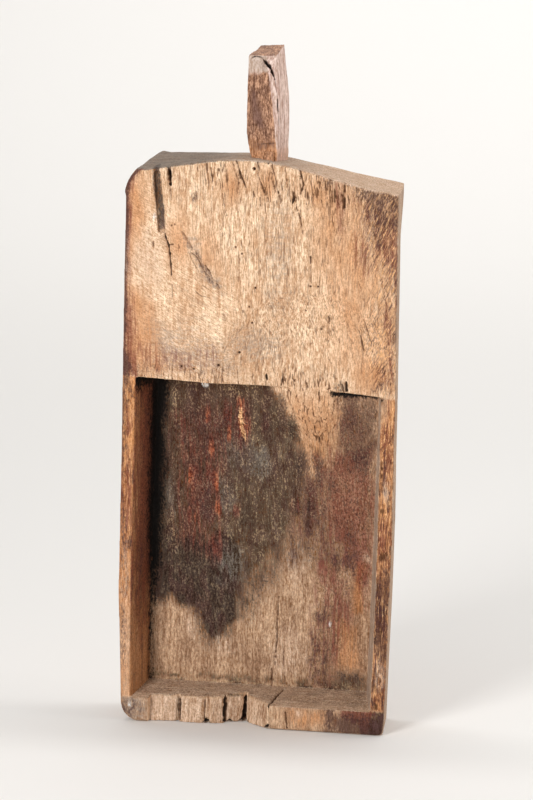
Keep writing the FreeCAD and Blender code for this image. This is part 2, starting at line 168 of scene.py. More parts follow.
def noise(points, size, seed, octaves=2):
    """Smooth noise from -1 to 1 whose waves have the given size along x, y and z."""
    place = points / np.broadcast_to(np.asarray(size, float), 3)
    total = np.zeros(len(points))
    weight, span = 1.0, 0.0
    for octave in range(octaves):
        base = np.floor(place)
        share = place - base
        share = share * share * (3 - 2 * share)
        base = base.astype(np.int64)
        value = np.zeros(len(points))
        for corner in range(8):
            offset = np.array((corner & 1, corner >> 1 & 1, corner >> 2 & 1))
            near = np.where(offset, share, 1 - share).prod(axis=1)
            value += near * lattice(base + offset, seed + 31 * octave)
        total += weight * (2 * value - 1)
        span += weight
        weight *= 0.5
        place = place * 2.03
    return total / span


def soft_step(value, low, high):
    """0 below low, 1 above high and smooth between them."""
    share = np.clip((value - low) / (high - low), 0, 1)
    return share * share * (3 - 2 * share)


def run_distance(points, line):
    """Distance of each point to a run of straight stretches, and the share of the run at its foot."""
    line = np.asarray(line, float)
    lengths = np.linalg.norm(np.diff(line, axis=0), axis=1)
    best = np.full(len(points), np.inf)
    place = np.zeros(len(points))
    travelled = 0.0
    for start, end, length in zip(line, line[1:], lengths):
        along = (end - start) / length
        reach = np.clip((points - start) @ along, 0, length)
        away = np.linalg.norm(points - start - reach[:, None] * along, axis=1)
        closer = away < best
        best = np.where(closer, away, best)
        place = np.where(closer, (travelled + reach) / lengths.sum(), place)
        travelled += length
    return best, place


def area(points, outline, soft):
    """1 inside a closed outline on two axes, 0 outside, blended over soft on both sides of its edge."""
    ring = np.asarray(outline, float)
    away, _ = run_distance(points, np.vstack((ring, ring[:1])))
    inside = np.zeros(len(points), bool)
    u, v = points.T
    for (u0, v0), (u1, v1) in zip(ring, np.roll(ring, -1, axis=0)):
        crosses = (v0 > v) != (v1 > v)
        rise = v1 - v0 if v1 != v0 else 1.0
        inside ^= crosses & (u < u0 + (u1 - u0) * (v - v0) / rise)
    signed = np.where(inside, away, -away)
    return soft_step(signed, -soft, soft)


# Dense copies of the solids, worked over point by point

class WorkedCopy:
    """A dense copy of a CAD solid whose points are pushed about, in millimetres."""

    def __init__(self, node, name, detail):
        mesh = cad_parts[node].data.copy()
        shell = bmesh.new()
        shell.from_mesh(mesh)
        bmesh.ops.remove_doubles(shell, verts=shell.verts, dist=MERGE_REACH)
        shell.to_mesh(mesh)
        shell.free()
        mesh.materials.clear()
        self.object = bpy.data.objects.new(name, mesh)
        bpy.context.scene.collection.objects.link(self.object)
        dense = self.object.modifiers.new("dense", "REMESH")
        dense.mode = "VOXEL"
        dense.voxel_size = detail * 1.0
        self.apply_modifiers()
        self.marks = {}
        self.read_points()

    def apply_modifiers(self):
        settled = self.object.evaluated_get(bpy.context.evaluated_depsgraph_get())
        mesh = bpy.data.meshes.new_from_object(settled)
        self.object.modifiers.clear()
        self.object.data = mesh
        mesh.name = self.object.name

    def read_points(self):
        mesh = self.object.data
        count = len(mesh.vertices)
        flat = np.empty(count * 3, np.float32)
        mesh.vertices.foreach_get("co", flat)
        self.points = flat.reshape(-1, 3).astype(float) / MM
        mesh.vertex_normals.foreach_get("vector", flat)
        self.normals = flat.reshape(-1, 3).astype(float)
        self.move = np.zeros((count, 3))
        self.views = {}

    def write_points(self):
        flat = ((self.points + self.move) * MM).astype(np.float32).ravel()
        self.object.data.vertices.foreach_set("co", flat)
        self.object.data.update()

    def settle(self):
        """Take the moved points as the new surface."""
        self.write_points()
        self.read_points()

    def smooth(self, weight, rounds):
        """Even out the points where weight says so, then read the surface again."""
        mesh = self.object.data
        ends = np.empty(len(mesh.edges) * 2, np.int32)
        mesh.edges.foreach_get("vertices", ends)
        first, second = ends.reshape(-1, 2).T
        count = len(self.points)
        links = np.bincount(first, minlength=count) + np.bincount(second, minlength=count)
        share = (0.5 * weight / np.maximum(links, 1))[:, None]
        for _ in range(rounds):
            pull = np.empty_like(self.points)
            for axis in range(3):
                value = self.points[:, axis]
                pull[:, axis] = (np.bincount(first, value[second], count)
                                 + np.bincount(second, value[first], count))
            self.points += share * (pull - links[:, None] * self.points)
        self.settle()

    def press(self, amount):
        """Push the surface out, or in where amount is below 0."""
        self.move += self.normals * amount[:, None]

    def mark(self, name, weight):
        """Keep the strongest of the weights given to a named mark."""
        held = self.marks.get(name)
        self.marks[name] = weight if held is None else np.maximum(held, weight)

    def split(self, line, width, depth, shade_darkness, plane, towards):
        """Open a tapering split along a line on a plane, where the surface faces towards, and mark the
        painted shade inside it.
        """
        view = (plane, towards)
        if view not in self.views:
            facing = np.flatnonzero(self.normals @ np.asarray(towards, float) > 0.25)
            self.views[view] = facing, self.points[facing] @ np.asarray(plane, float).T
        facing, flat = self.views[view]
        line = np.asarray(line, float)
        margin = width * 3
        near = ((flat > line.min(axis=0) - margin) & (flat < line.max(axis=0) + margin)).all(axis=1)
        index = facing[near]
        away, place = run_distance(flat[near], line)
        away = away + 0.3 * width * noise(self.points[index], 2.5, 71, 1)
        taper = 1 - 0.55 * np.abs(2 * place - 1) ** 2
        open_share = 1 - soft_step(away, 0.15 * width * taper, 0.85 * width * taper)
        self.move[index] -= self.normals[index] * (open_share * depth * taper)[:, None]
        # The mark holds the painted shade of the split: brown of open fibre where faint, near black
        # where strong.
        held = self.marks.setdefault("cut", np.zeros(len(self.points)))
        held[index] = np.maximum(held[index], shade_darkness * open_share)

    def finish(self, triangles):
        """Write the points and marks to the mesh and thin it to the number of triangles."""
        self.write_points()
        mesh = self.object.data
        for name, weight in sorted(self.marks.items()):
            layer = mesh.attributes.new(name, "FLOAT", "POINT")
            layer.data.foreach_set("value", np.clip(weight, 0, 1).astype(np.float32))
        mesh.calc_loop_triangles()
        share = min(1.0, triangles / len(mesh.loop_triangles))
        thin = self.object.modifiers.new("thin", "DECIMATE")
        thin.ratio = share
        thin.use_collapse_triangulate = True
        self.apply_modifiers()
        mesh = self.object.data
        mesh.polygons.foreach_set("use_smooth", np.ones(len(mesh.polygons), bool))
        mesh.update()
        return self.object


# Nodes of the wood finishes

class Field:
    """A value or colour on the surface that can be added, multiplied and blended."""

    def __init__(self, finish, socket):
        self.finish = finish
        self.socket = socket

    def __add__(self, other):
        return self.finish.math("ADD", self, other)

    def __sub__(self, other):
        return self.finish.math("SUBTRACT", self, other)

    def __mul__(self, other):
        return self.finish.math("MULTIPLY", self, other)

    def between(self, low, high):
        """0 below low, 1 above high and smooth between them."""
        node = self.finish.add("ShaderNodeMapRange", interpolation_type="SMOOTHSTEP")
        self.finish.feed(node.inputs["Value"], self)
        node.inputs["From Min"].default_value = low
        node.inputs["From Max"].default_value = high
        return Field(self.finish, node.outputs["Result"])


class WoodFinish:
    """Builds one wood material from noise on object coordinates and from the piece's own marks."""

    def __init__(self, name, bend):
        self.material = bpy.data.materials.new(name)
        self.material.use_nodes = True
        self.tree = self.material.node_tree
        self.tree.nodes.clear()
        self.place = self.add("ShaderNodeTexCoord").outputs["Object"]
        self.sway((40, 40, 90), 3.0, (bend, bend, 0.0))
        self.sway((9, 9, 14), 2.0, (0.16 * bend, 0.16 * bend, 0.2 * bend))

    def sway(self, size, detail, reach):
        """Shift the place that later noises read by noise of a size and reach in millimetres."""
        wave = self.add("ShaderNodeTexNoise", noise_dimensions="3D")
        scaled = self.vector("MULTIPLY", self.place, tuple(1000 / length for length in size))
        self.tree.links.new(scaled, wave.inputs["Vector"])
        wave.inputs["Scale"].default_value = 1.0
        wave.inputs["Detail"].default_value = detail
        shift = self.vector("SUBTRACT", wave.outputs["Color"], (0.5, 0.5, 0.5))
        shift = self.vector("MULTIPLY", shift, tuple(length * MM for length in reach))
        self.place = self.vector("ADD", self.place, shift)

    def add(self, kind, **settings):
        node = self.tree.nodes.new(kind)
        for key, value in settings.items():
            setattr(node, key, value)
        return node

    def feed(self, socket, value):
        if isinstance(value, Field):
            self.tree.links.new(value.socket, socket)
        else:
            socket.default_value = value

    def vector(self, operation, first, second):
        node = self.add("ShaderNodeVectorMath", operation=operation)
        self.tree.links.new(first, node.inputs[0])
        if isinstance(second, tuple):
            node.inputs[1].default_value = second
        else:
            self.tree.links.new(second, node.inputs[1])
        return node.outputs[0]

    def math(self, operation, first, second):
        node = self.add("ShaderNodeMath", operation=operation)
        self.feed(node.inputs[0], first)
        self.feed(node.inputs[1], second)
        return Field(self, node.outputs[0])

    def noise(self, size, seed, detail=3.0, roughness=0.55, slanted=None):
        """Noise spread over 0 to 1 whose waves have the given size in millimetres along x, y and z.

        slanted turns the waves about the y axis, in degrees.
        """
        place = self.place
        if slanted is not None:
            turn = self.add("ShaderNodeVectorRotate", rotation_type="Y_AXIS")
            turn.inputs["Angle"].default_value = math.radians(slanted)
            self.tree.links.new(self.place, turn.inputs["Vector"])
            place = turn.outputs["Vector"]
        scaled = self.vector("MULTIPLY", place, tuple(1 / (length * MM) for length in size))
        moved = self.vector("ADD", scaled, (seed * 17.3, seed * 5.9, seed * 11.7))
        node = self.add("ShaderNodeTexNoise", noise_dimensions="3D")
        self.tree.links.new(moved, node.inputs["Vector"])
        node.inputs["Scale"].default_value = 1.0
        node.inputs["Detail"].default_value = detail
        node.inputs["Roughness"].default_value = roughness
        return Field(self, node.outputs["Fac"]).between(0.28, 0.72)

    def lines(self, size, seed, thin, slanted=None):
        """1 along thin wandering lines that run with the grain."""
        wave = self.noise(size, seed, 1.0, 0.4, slanted) * 2.0 - 1.0
        return (self.math("ABSOLUTE", wave, 0.0) * -1.0 + 1.0).between(1.0 - thin, 1.0)

    def marked(self, name):
        node = self.add("ShaderNodeAttribute", attribute_name=name)
        return Field(self, node.outputs["Fac"])

    def ragged(self, mark, grain, spread):
        """A mark that the grain breaks up where it is neither full nor empty."""
        middling = mark * (mark * -4.0 + 4.0)
        return (mark + (grain - 0.5) * middling * spread).between(0.0, 1.0)

    def blend(self, first, second, share):
        return self.mix("MIX", first, second, share)

    def shade(self, colour, value):
        """A colour made lighter or darker by a value around 1, warmer where darker, as wood is."""
        node = self.add("ShaderNodeCombineColor", mode="RGB")
        for name, pull in (("Red", 0.8), ("Green", 1.05), ("Blue", 1.3)):
            self.feed(node.inputs[name], value * pull + (1 - pull))
        return self.mix("MULTIPLY", colour, Field(self, node.outputs["Color"]), 1.0)

    def mix(self, kind, first, second, share):
        node = self.add("ShaderNodeMix", data_type="RGBA", blend_type=kind)
        sockets = {socket.name: socket for socket in node.inputs if socket.type == "RGBA"}
        self.feed(node.inputs["Factor"], share)
        self.feed(sockets["A"], first)
        self.feed(sockets["B"], second)
        return Field(self, next(socket for socket in node.outputs if socket.type == "RGBA"))

    def swap(self, first, second, share):
        """One value where share is 0 and another where it is 1."""
        return first + (second - first) * share

    def swap_number(self, first, second, share):
        return share * (second - first) + first

    def finish(self, colour, roughness, height, depth):
        shader = self.add("ShaderNodeBsdfPrincipled")
        output = self.add("ShaderNodeOutputMaterial")
        bump = self.add("ShaderNodeBump")
        bump.inputs["Strength"].default_value = 1.0
        bump.inputs["Distance"].default_value = depth * MM
        self.feed(bump.inputs["Height"], height)
        self.feed(shader.inputs["Base Color"], colour)
        self.feed(shader.inputs["Roughness"], roughness)
        shader.inputs["Specular IOR Level"].default_value = 0.2
        self.tree.links.new(bump.outputs["Normal"], shader.inputs["Normal"])
        self.tree.links.new(shader.outputs["BSDF"], output.inputs["Surface"])
        return self.material


def rgb(setting):
    return (*setting, 1.0)


# The tray

# Height of the step in the middle of the tray and its fall to the right
STEP_MID = 331.9
STEP_FALL = 0.0559
# Dug face, from front to back, and the plank's thickness
FACE_Y = -33
THICKNESS = 66
# Way along the rounded upper left corner, across and up
CORNER_ACROSS, CORNER_UP = 0.526, 0.85
# Areas with a crisper edge than this aren't made to wander
CRISP_EDGE = 2
TEAR_SEED = 8
FRONT_PLANE = ((1, 0, 0), (0, 0, 1))
FRONT = (0, -1, 0)
LEDGE_PLANE = ((1, 0, 0), (0, 1, 0))
UP = (0, 0, 1)

# Inner arris of the left rim: height and place across
LEFT_ARRIS = ((29, -125.0), (80, -123.7), (160, -123.7), (296, -120.0), (338, -117.0))

# Left edge of the upper face: heights, then places across
LEFT_EDGE = ((346, 378, 426, 474, 515, 524, 531, 536),
             (-130.5, -129.5, -127.9, -126.5, -125.5, -123.4, -118.4, -114.1))

# Splits seen from the front: points across and up the tray, width, depth and darkness of the painted
# shade inside
SPLITS = (
    (((-84, 545), (-83, 531), (-82, 521)), 2.6, 7.0, 1.0),
    (((-82, 521), (-81, 507)), 1.3, 1.5, 0.6),
    (((-89, 482), (-87, 473), (-84, 465), (-83, 456), (-82, 446), (-81, 434)), 1.6, 3.0, 0.9),
    (((-81, 434), (-80, 405)), 0.9, 0.6, 0.5),
    (((-99, 471), (-99, 460)), 1.5, 1.2, 0.6),
    (((-84, 466), (-78, 466)), 1.2, 0.8, 0.6),
    (((-72, 479), (-69, 476), (-65, 469), (-61, 463)), 2.6, 1.2, 0.4),
    (((-58, 461), (-53, 452)), 1.4, 1.2, 0.5),
    (((-50, 449), (-44, 441), (-41, 434)), 1.6, 1.4, 0.6),
    (((-38, 431), (-34, 425)), 1.2, 1.0, 0.5),
    (((-63, 460), (-56, 454), (-50, 442), (-44, 436)), 1.4, 1.0, 0.55),
    (((-66, 462), (-60, 450), (-52, 436)), 1.1, 0.7, 0.45),
    (((-59, 423), (-53, 418), (-42, 416)), 1.3, 0.6, 0.45),
    (((-58, 434), (-52, 428), (-44, 424), (-40, 420)), 1.0, 0.5, 0.4),
    (((-18, 546), (-14, 533), (-9, 521)), 2.0, 2.2, 0.75),
    (((-22, 546), (-19, 535), (-15, 524)), 1.2, 1.2, 0.55),
    (((-43, 540), (-41, 524)), 1.4, 1.4, 0.6),
    (((-50, 540), (-47, 522)), 1.1, 1.0, 0.5),
    (((-30, 544), (-26, 526)), 1.1, 1.2, 0.5),
    (((2, 546), (4, 536)), 1.5, 2.0, 0.7),
    (((2, 535), (10, 513)), 1.4, 1.6, 0.65),
    (((-2, 518), (0, 511)), 1.4, 1.4, 0.6),
    (((16, 544), (20, 528)), 1.2, 1.4, 0.6),
    (((28, 542), (31, 526)), 1.2, 1.4, 0.55),
    (((42, 542), (46, 525), (43, 515)), 1.8, 2.6, 0.8),
    (((37, 518), (36, 507)), 2.2, 2.6, 0.85),
    (((39, 505), (43, 494), (46, 478)), 1.3, 1.8, 0.65),
    (((50, 523), (50, 509)), 1.4, 1.6, 0.65),
    (((60, 536), (62, 520)), 1.2, 1.4, 0.6),
    (((75, 526), (76, 508)), 1.5, 2.0, 0.75),
    (((85, 530), (85, 504)), 1.5, 2.2, 0.75),
    (((53, 460), (53, 448)), 1.5, 1.5, 0.8),
    (((69, 402), (69, 394)), 1.6, 1.5, 0.85),
    (((72, 391), (72, 386)), 1.4, 1.2, 0.7),
    (((98, 390), (102, 369)), 1.5, 1.5, 0.75),
    (((104, 398), (110, 376)), 1.2, 1.2, 0.6),
    (((84, 338), (84, 327)), 2.6, 4.0, 1.0),
    (((80, 336), (81, 328)), 1.3, 2.0, 0.8),
    (((7, 343), (8, 337)), 1.8, 2.5, 0.9),
    (((23, 341), (21, 332)), 1.5, 1.5, 0.8),
    (((32, 337), (34, 331)), 1.3, 1.2, 0.6),
    (((44, 338), (47, 330)), 1.3, 1.2, 0.7),
    (((55, 284), (55, 276)), 1.8, 2.0, 0.8),
    (((52, 294), (51, 284)), 1.5, 1.5, 0.7),
    (((58, 286), (58, 277)), 1.2, 1.2, 0.6),
    (((43, 314), (42, 305)), 1.4, 1.2, 0.65),
    (((12.5, 121), (11.6, 111), (11.4, 103), (10.4, 92), (10.6, 77), (9.2, 66), (9, 57), (7.8, 47)),
     1.3, 2.6, 0.8),
    (((5, 50), (5.6, 43), (5, 38), (6, 30)), 1.3, 2.4, 0.75),
    (((18, 76), (17, 63), (17, 47), (19, 32)), 1.3, 1.6, 0.55),
    (((12, 25), (11, 13), (12, -2)), 2.4, 7.0, 1.0),
    (((29, 19), (30, 9), (31, 2)), 1.4, 2.0, 0.8),
    (((-78.5, 25), (-78.5, 0)), 2.8, 2.4, 0.85),
    (((-53, 24), (-52, 0)), 2.2, 2.0, 0.7),
    (((-34, 26), (-34, 0)), 2.4, 2.4, 0.9),
    (((-16.5, 24), (-16.5, 0)), 2.4, 2.4, 0.9),
)
LEDGE_SPLIT = (((19, 8), (15, -12), (12, -34)), 1.9, 4.0, 0.95)

# Drying checks on the sides and the back: plane, way out, then splits as above
SIDE_PLANE = ((0, 1, 0), (0, 0, 1))
DRYING_CHECKS = (
    (SIDE_PLANE, (-1, 0, 0), (
        (((8, 506), (9, 470), (7, 430)), 1.6, 3.0, 0.8),
        (((-12, 300), (-11, 250), (-13, 190)), 1.5, 2.5, 0.75),
        (((20, 120), (19, 70), (21, 20)), 1.4, 2.0, 0.7),
    )),
    (SIDE_PLANE, (1, 0, 0), (
        (((-6, 500), (-5, 450), (-8, 395)), 1.6, 3.0, 0.8),
        (((14, 260), (15, 205), (13, 150)), 1.4, 2.2, 0.7),
        (((-18, 140), (-17, 100), (-19, 60)), 1.3, 1.8, 0.65),
    )),
    (FRONT_PLANE, (0, 1, 0), (
        (((-40, 538), (-38, 480), (-41, 410), (-40, 350)), 1.8, 3.5, 0.85),
        (((62, 522), (60, 460), (61, 420)), 1.6, 2.5, 0.75),
        (((15, 230), (17, 150), (14, 60), (15, 0)), 1.7, 3.0, 0.8),
        (((-85, 180), (-84, 120), (-86, 70)), 1.4, 2.0, 0.7),
        (((95, 300), (96, 240), (94, 190)), 1.3, 1.8, 0.65),
    )),
)

# Crowds of short torn fibres: number, lowest and highest place across, lowest and highest place up,
# shortest and longest, lean to the right going down, strength
TEARS = (
    (40, -62, 100, 512, 540, 10, 26, 0.16, 0.8),
    (14, -40, 90, 470, 515, 8, 18, 0.14, 0.6),
    (24, -20, 112, 346, 470, 6, 16, 0.12, 0.6),
    (22, 22, 74, 264, 336, 6, 12, 0.05, 0.8),
    (6, -122, -34, 345, 520, 3, 7, 0.2, 0.6),
    (30, 98, 132, 334, 505, 6, 18, 0.4, 0.5),
    (30, -112, 80, 338, 346, 5, 9, 0.1, 0.8),
    (30, -100, 100, 45, 300, 6, 20, 0.03, 0.6),
)

# Round worm holes and knots on the upper face: across, up, radius
PITS = (
    (-81, 484, 0.9), (-78, 485, 0.9), (53, 430, 1.1), (60, 430, 1.1), (47, 406, 1.0),
    (61, 388, 1.1), (-17, 364, 1.5), (-4, 393, 1.1), (0, 427, 1.3), (-6, 409, 1.0), (-19, 465, 1.0),
    (-13, 459, 1.1), (-1, 539, 1.8), (-72, 350, 1.3), (-60, 348, 1.2), (-36, 352, 1.5),
)

# Stained areas by mark and zone: strength, softness of the edge, outline across and up
AREAS = {
    ("dusk", "face"): (
        (0.72, 10, ((90, 536), (142, 522), (142, 486), (125, 482), (116, 462), (110, 482),
         (108, 500), (100, 515))),
        (0.95, 4, ((-150, 335), (-122, 335), (-123, 350), (-127, 372), (-150, 400))),
        (0.3, 3, ((-70, 478), (-66, 476), (-58, 460), (-48, 448), (-32, 422), (-36, 420),
         (-54, 444), (-64, 462))),
    ),
    ("rust", "face"): (
        (0.6, 12, ((92, 520), (142, 505), (142, 440), (124, 440), (108, 466), (100, 500))),
        (0.6, 8, ((-150, 335), (-112, 335), (-116, 380), (-122, 420), (-150, 440))),
        (0.4, 16, ((-130, 374), (-70, 366), (-30, 348), (-130, 340))),
    ),
    ("torn", "face"): (
        (0.9, 12, ((-64, 552), (108, 540), (108, 512), (70, 492), (-10, 505), (-64, 522))),
        (0.55, 30, ((-30, 500), (90, 500), (110, 340), (-30, 340))),
        (0.85, 8, ((-112, 350), (80, 350), (80, 326), (-112, 326))),
    ),
    ("frayed", "face"): (
        (1.0, 12, ((96, 530), (142, 522), (142, 328), (114, 328), (98, 372), (112, 430),
         (100, 480))),
    ),
    ("amber", "face"): (
        (0.45, 16, ((98, 522), (140, 517), (140, 330), (112, 330), (104, 380), (96, 420),
         (104, 470))),
        (0.5, 30, ((44, 530), (110, 522), (112, 350), (70, 356), (60, 440))),
        (0.6, 9, ((-130, 530), (-114, 530), (-114, 470), (-120, 430), (-100, 412), (-86, 342),
         (-130, 338))),
    ),
    ("grey", "face"): (
        (0.46, 26, ((-105, 395), (-60, 390), (-22, 372), (-15, 340), (-118, 340))),
        (0.6, 5, ((-74, 480), (-66, 480), (-56, 464), (-42, 444), (-28, 420), (-34, 416),
         (-52, 436), (-66, 458))),
    ),
    ("soot", "slot"): (
        (0.82, 1.8, ((-99, 541), (-93, 539), (-91, 518), (-88, 498), (-88, 480), (-94, 479),
         (-95, 497), (-98.5, 518))),
    ),
    ("soot", "floor"): (
        (0.84, 9, ((-118, 345), (4, 338), (18, 322), (28, 300), (34, 270), (42, 238), (40, 205),
         (14, 172), (-4, 151), (-18, 130), (-26, 100), (-36, 93), (-45, 85), (-53, 71),
         (-60, 78), (-68, 95), (-72, 108), (-97, 112), (-118, 114))),
        (1.0, 5, ((-104, 190), (-60, 176), (-30, 184), (-22, 150), (-26, 130), (-27, 98),
         (-36, 92), (-45, 85), (-53, 69), (-60, 78), (-67, 95), (-72, 108), (-97, 112),
         (-108, 114))),
        (0.55, 14, ((-34, 200), (30, 200), (22, 160), (2, 122), (-18, 96), (-30, 100))),
        (0.4, 12, ((20, 205), (74, 205), (76, 160), (58, 150), (36, 156), (20, 150))),
    ),
    ("rust", "floor"): (
        (0.4, 12, ((24, 215), (74, 215), (76, 150), (52, 150), (40, 176), (26, 180))),
        (0.6, 14, ((-94, 300), (-50, 306), (-30, 290), (-40, 250), (-44, 200), (-60, 160),
         (-88, 175))),
        (0.82, 10, ((66, 275), (108, 275), (108, 195), (98, 110), (86, 140), (58, 200))),
        (0.55, 12, ((50, 165), (86, 165), (84, 100), (62, 36), (44, 36), (48, 110))),
        (0.6, 8, ((46, 262), (72, 268), (74, 200), (48, 190), (40, 215))),
    ),
    ("dust", "floor"): (
        (0.62, 14, ((-118, 345), (14, 340), (30, 300), (44, 238), (42, 200), (10, 160),
         (-14, 130), (-30, 165), (-104, 180))),
        (0.3, 12, ((-104, 170), (-10, 170), (-20, 95), (-53, 74), (-72, 108), (-104, 114))),
        (0.75, 12, ((40, 268), (112, 326), (110, 190), (40, 190))),
    ),
    ("dusk", "floor"): (
        (0.55, 7, ((30, 270), (58, 262), (70, 240), (62, 196), (42, 184), (30, 205))),
        (0.5, 14, ((-84, 330), (-20, 330), (-8, 300), (-20, 262), (-62, 250), (-84, 280))),
        (0.66, 9, ((73, 328), (118, 326), (110, 250), (86, 246), (77, 285))),
        (0.55, 6, ((79, 200), (89, 200), (88, 160), (82, 118), (78, 122), (78, 165))),
        (0.42, 8, ((44, 90), (62, 90), (62, 36), (40, 36))),
    ),
    ("amber", "floor"): (
        (0.75, 6, ((86, 157), (97, 157), (95, 104), (83, 106))),
        (0.6, 9, ((68, 98), (92, 98), (92, 52), (70, 52))),
    ),
    ("chip", "floor"): (
        (1.0, 1.6, ((-25, 303), (-21, 303), (-20, 285), (-18, 274), (-22, 280), (-25, 292))),
    ),
    ("chalk", "floor"): (
        (1.0, 1.0, ((-63, 327), (-60, 331), (-57, 330), (-55, 326), (-59, 324))),
    ),
    # Painted shadows: the left wall's cast shadow on the floor along its corner, the shadow under the
    # step, and the shadow line under the step's right part.
    ("grime", "floor"): (
        (1.0, 9, ((-130, 350), (-96, 350), (-99, 250), (-103, 190), (-108, 140), (-114, 100),
         (-116, 60), (-117, 34), (-130, 34))),
        (0.95, 4, ((-122, 352), (14, 342), (4, 336), (-60, 334), (-100, 330), (-115, 324))),
        (1.0, 1.9, ((68, 334), (120, 330), (121, 322.4), (100, 323), (84, 322.6), (70, 323),
         (66, 327))),
    ),
    ("dusk", "lip"): (
        (0.9, 9, ((67, 30), (84, 19), (118, 19), (130, 30), (130, -6), (68, -6))),
    ),
    ("rust", "lip"): (
        (0.95, 4, ((84, 30), (114, 30), (114, 10), (106, 0), (92, 14), (84, 16))),
    ),
    ("soot", "lip"): (
        (0.85, 4, ((112, 24), (140, 24), (140, -6), (110, -6))),
    ),
    ("dusk", "right_rim"): (
        (0.85, 5, ((113, 150), (134, 165), (132, 74), (112, 78), (116, 120))),
        (0.75, 4, ((121, 80), (132, 80), (130, 10), (120, 10))),
    ),
    ("dusk", "left_rim"): (
        (0.95, 5, ((-142, 350), (-124, 350), (-127, 300), (-131, 255), (-142, 248))),
    ),
}

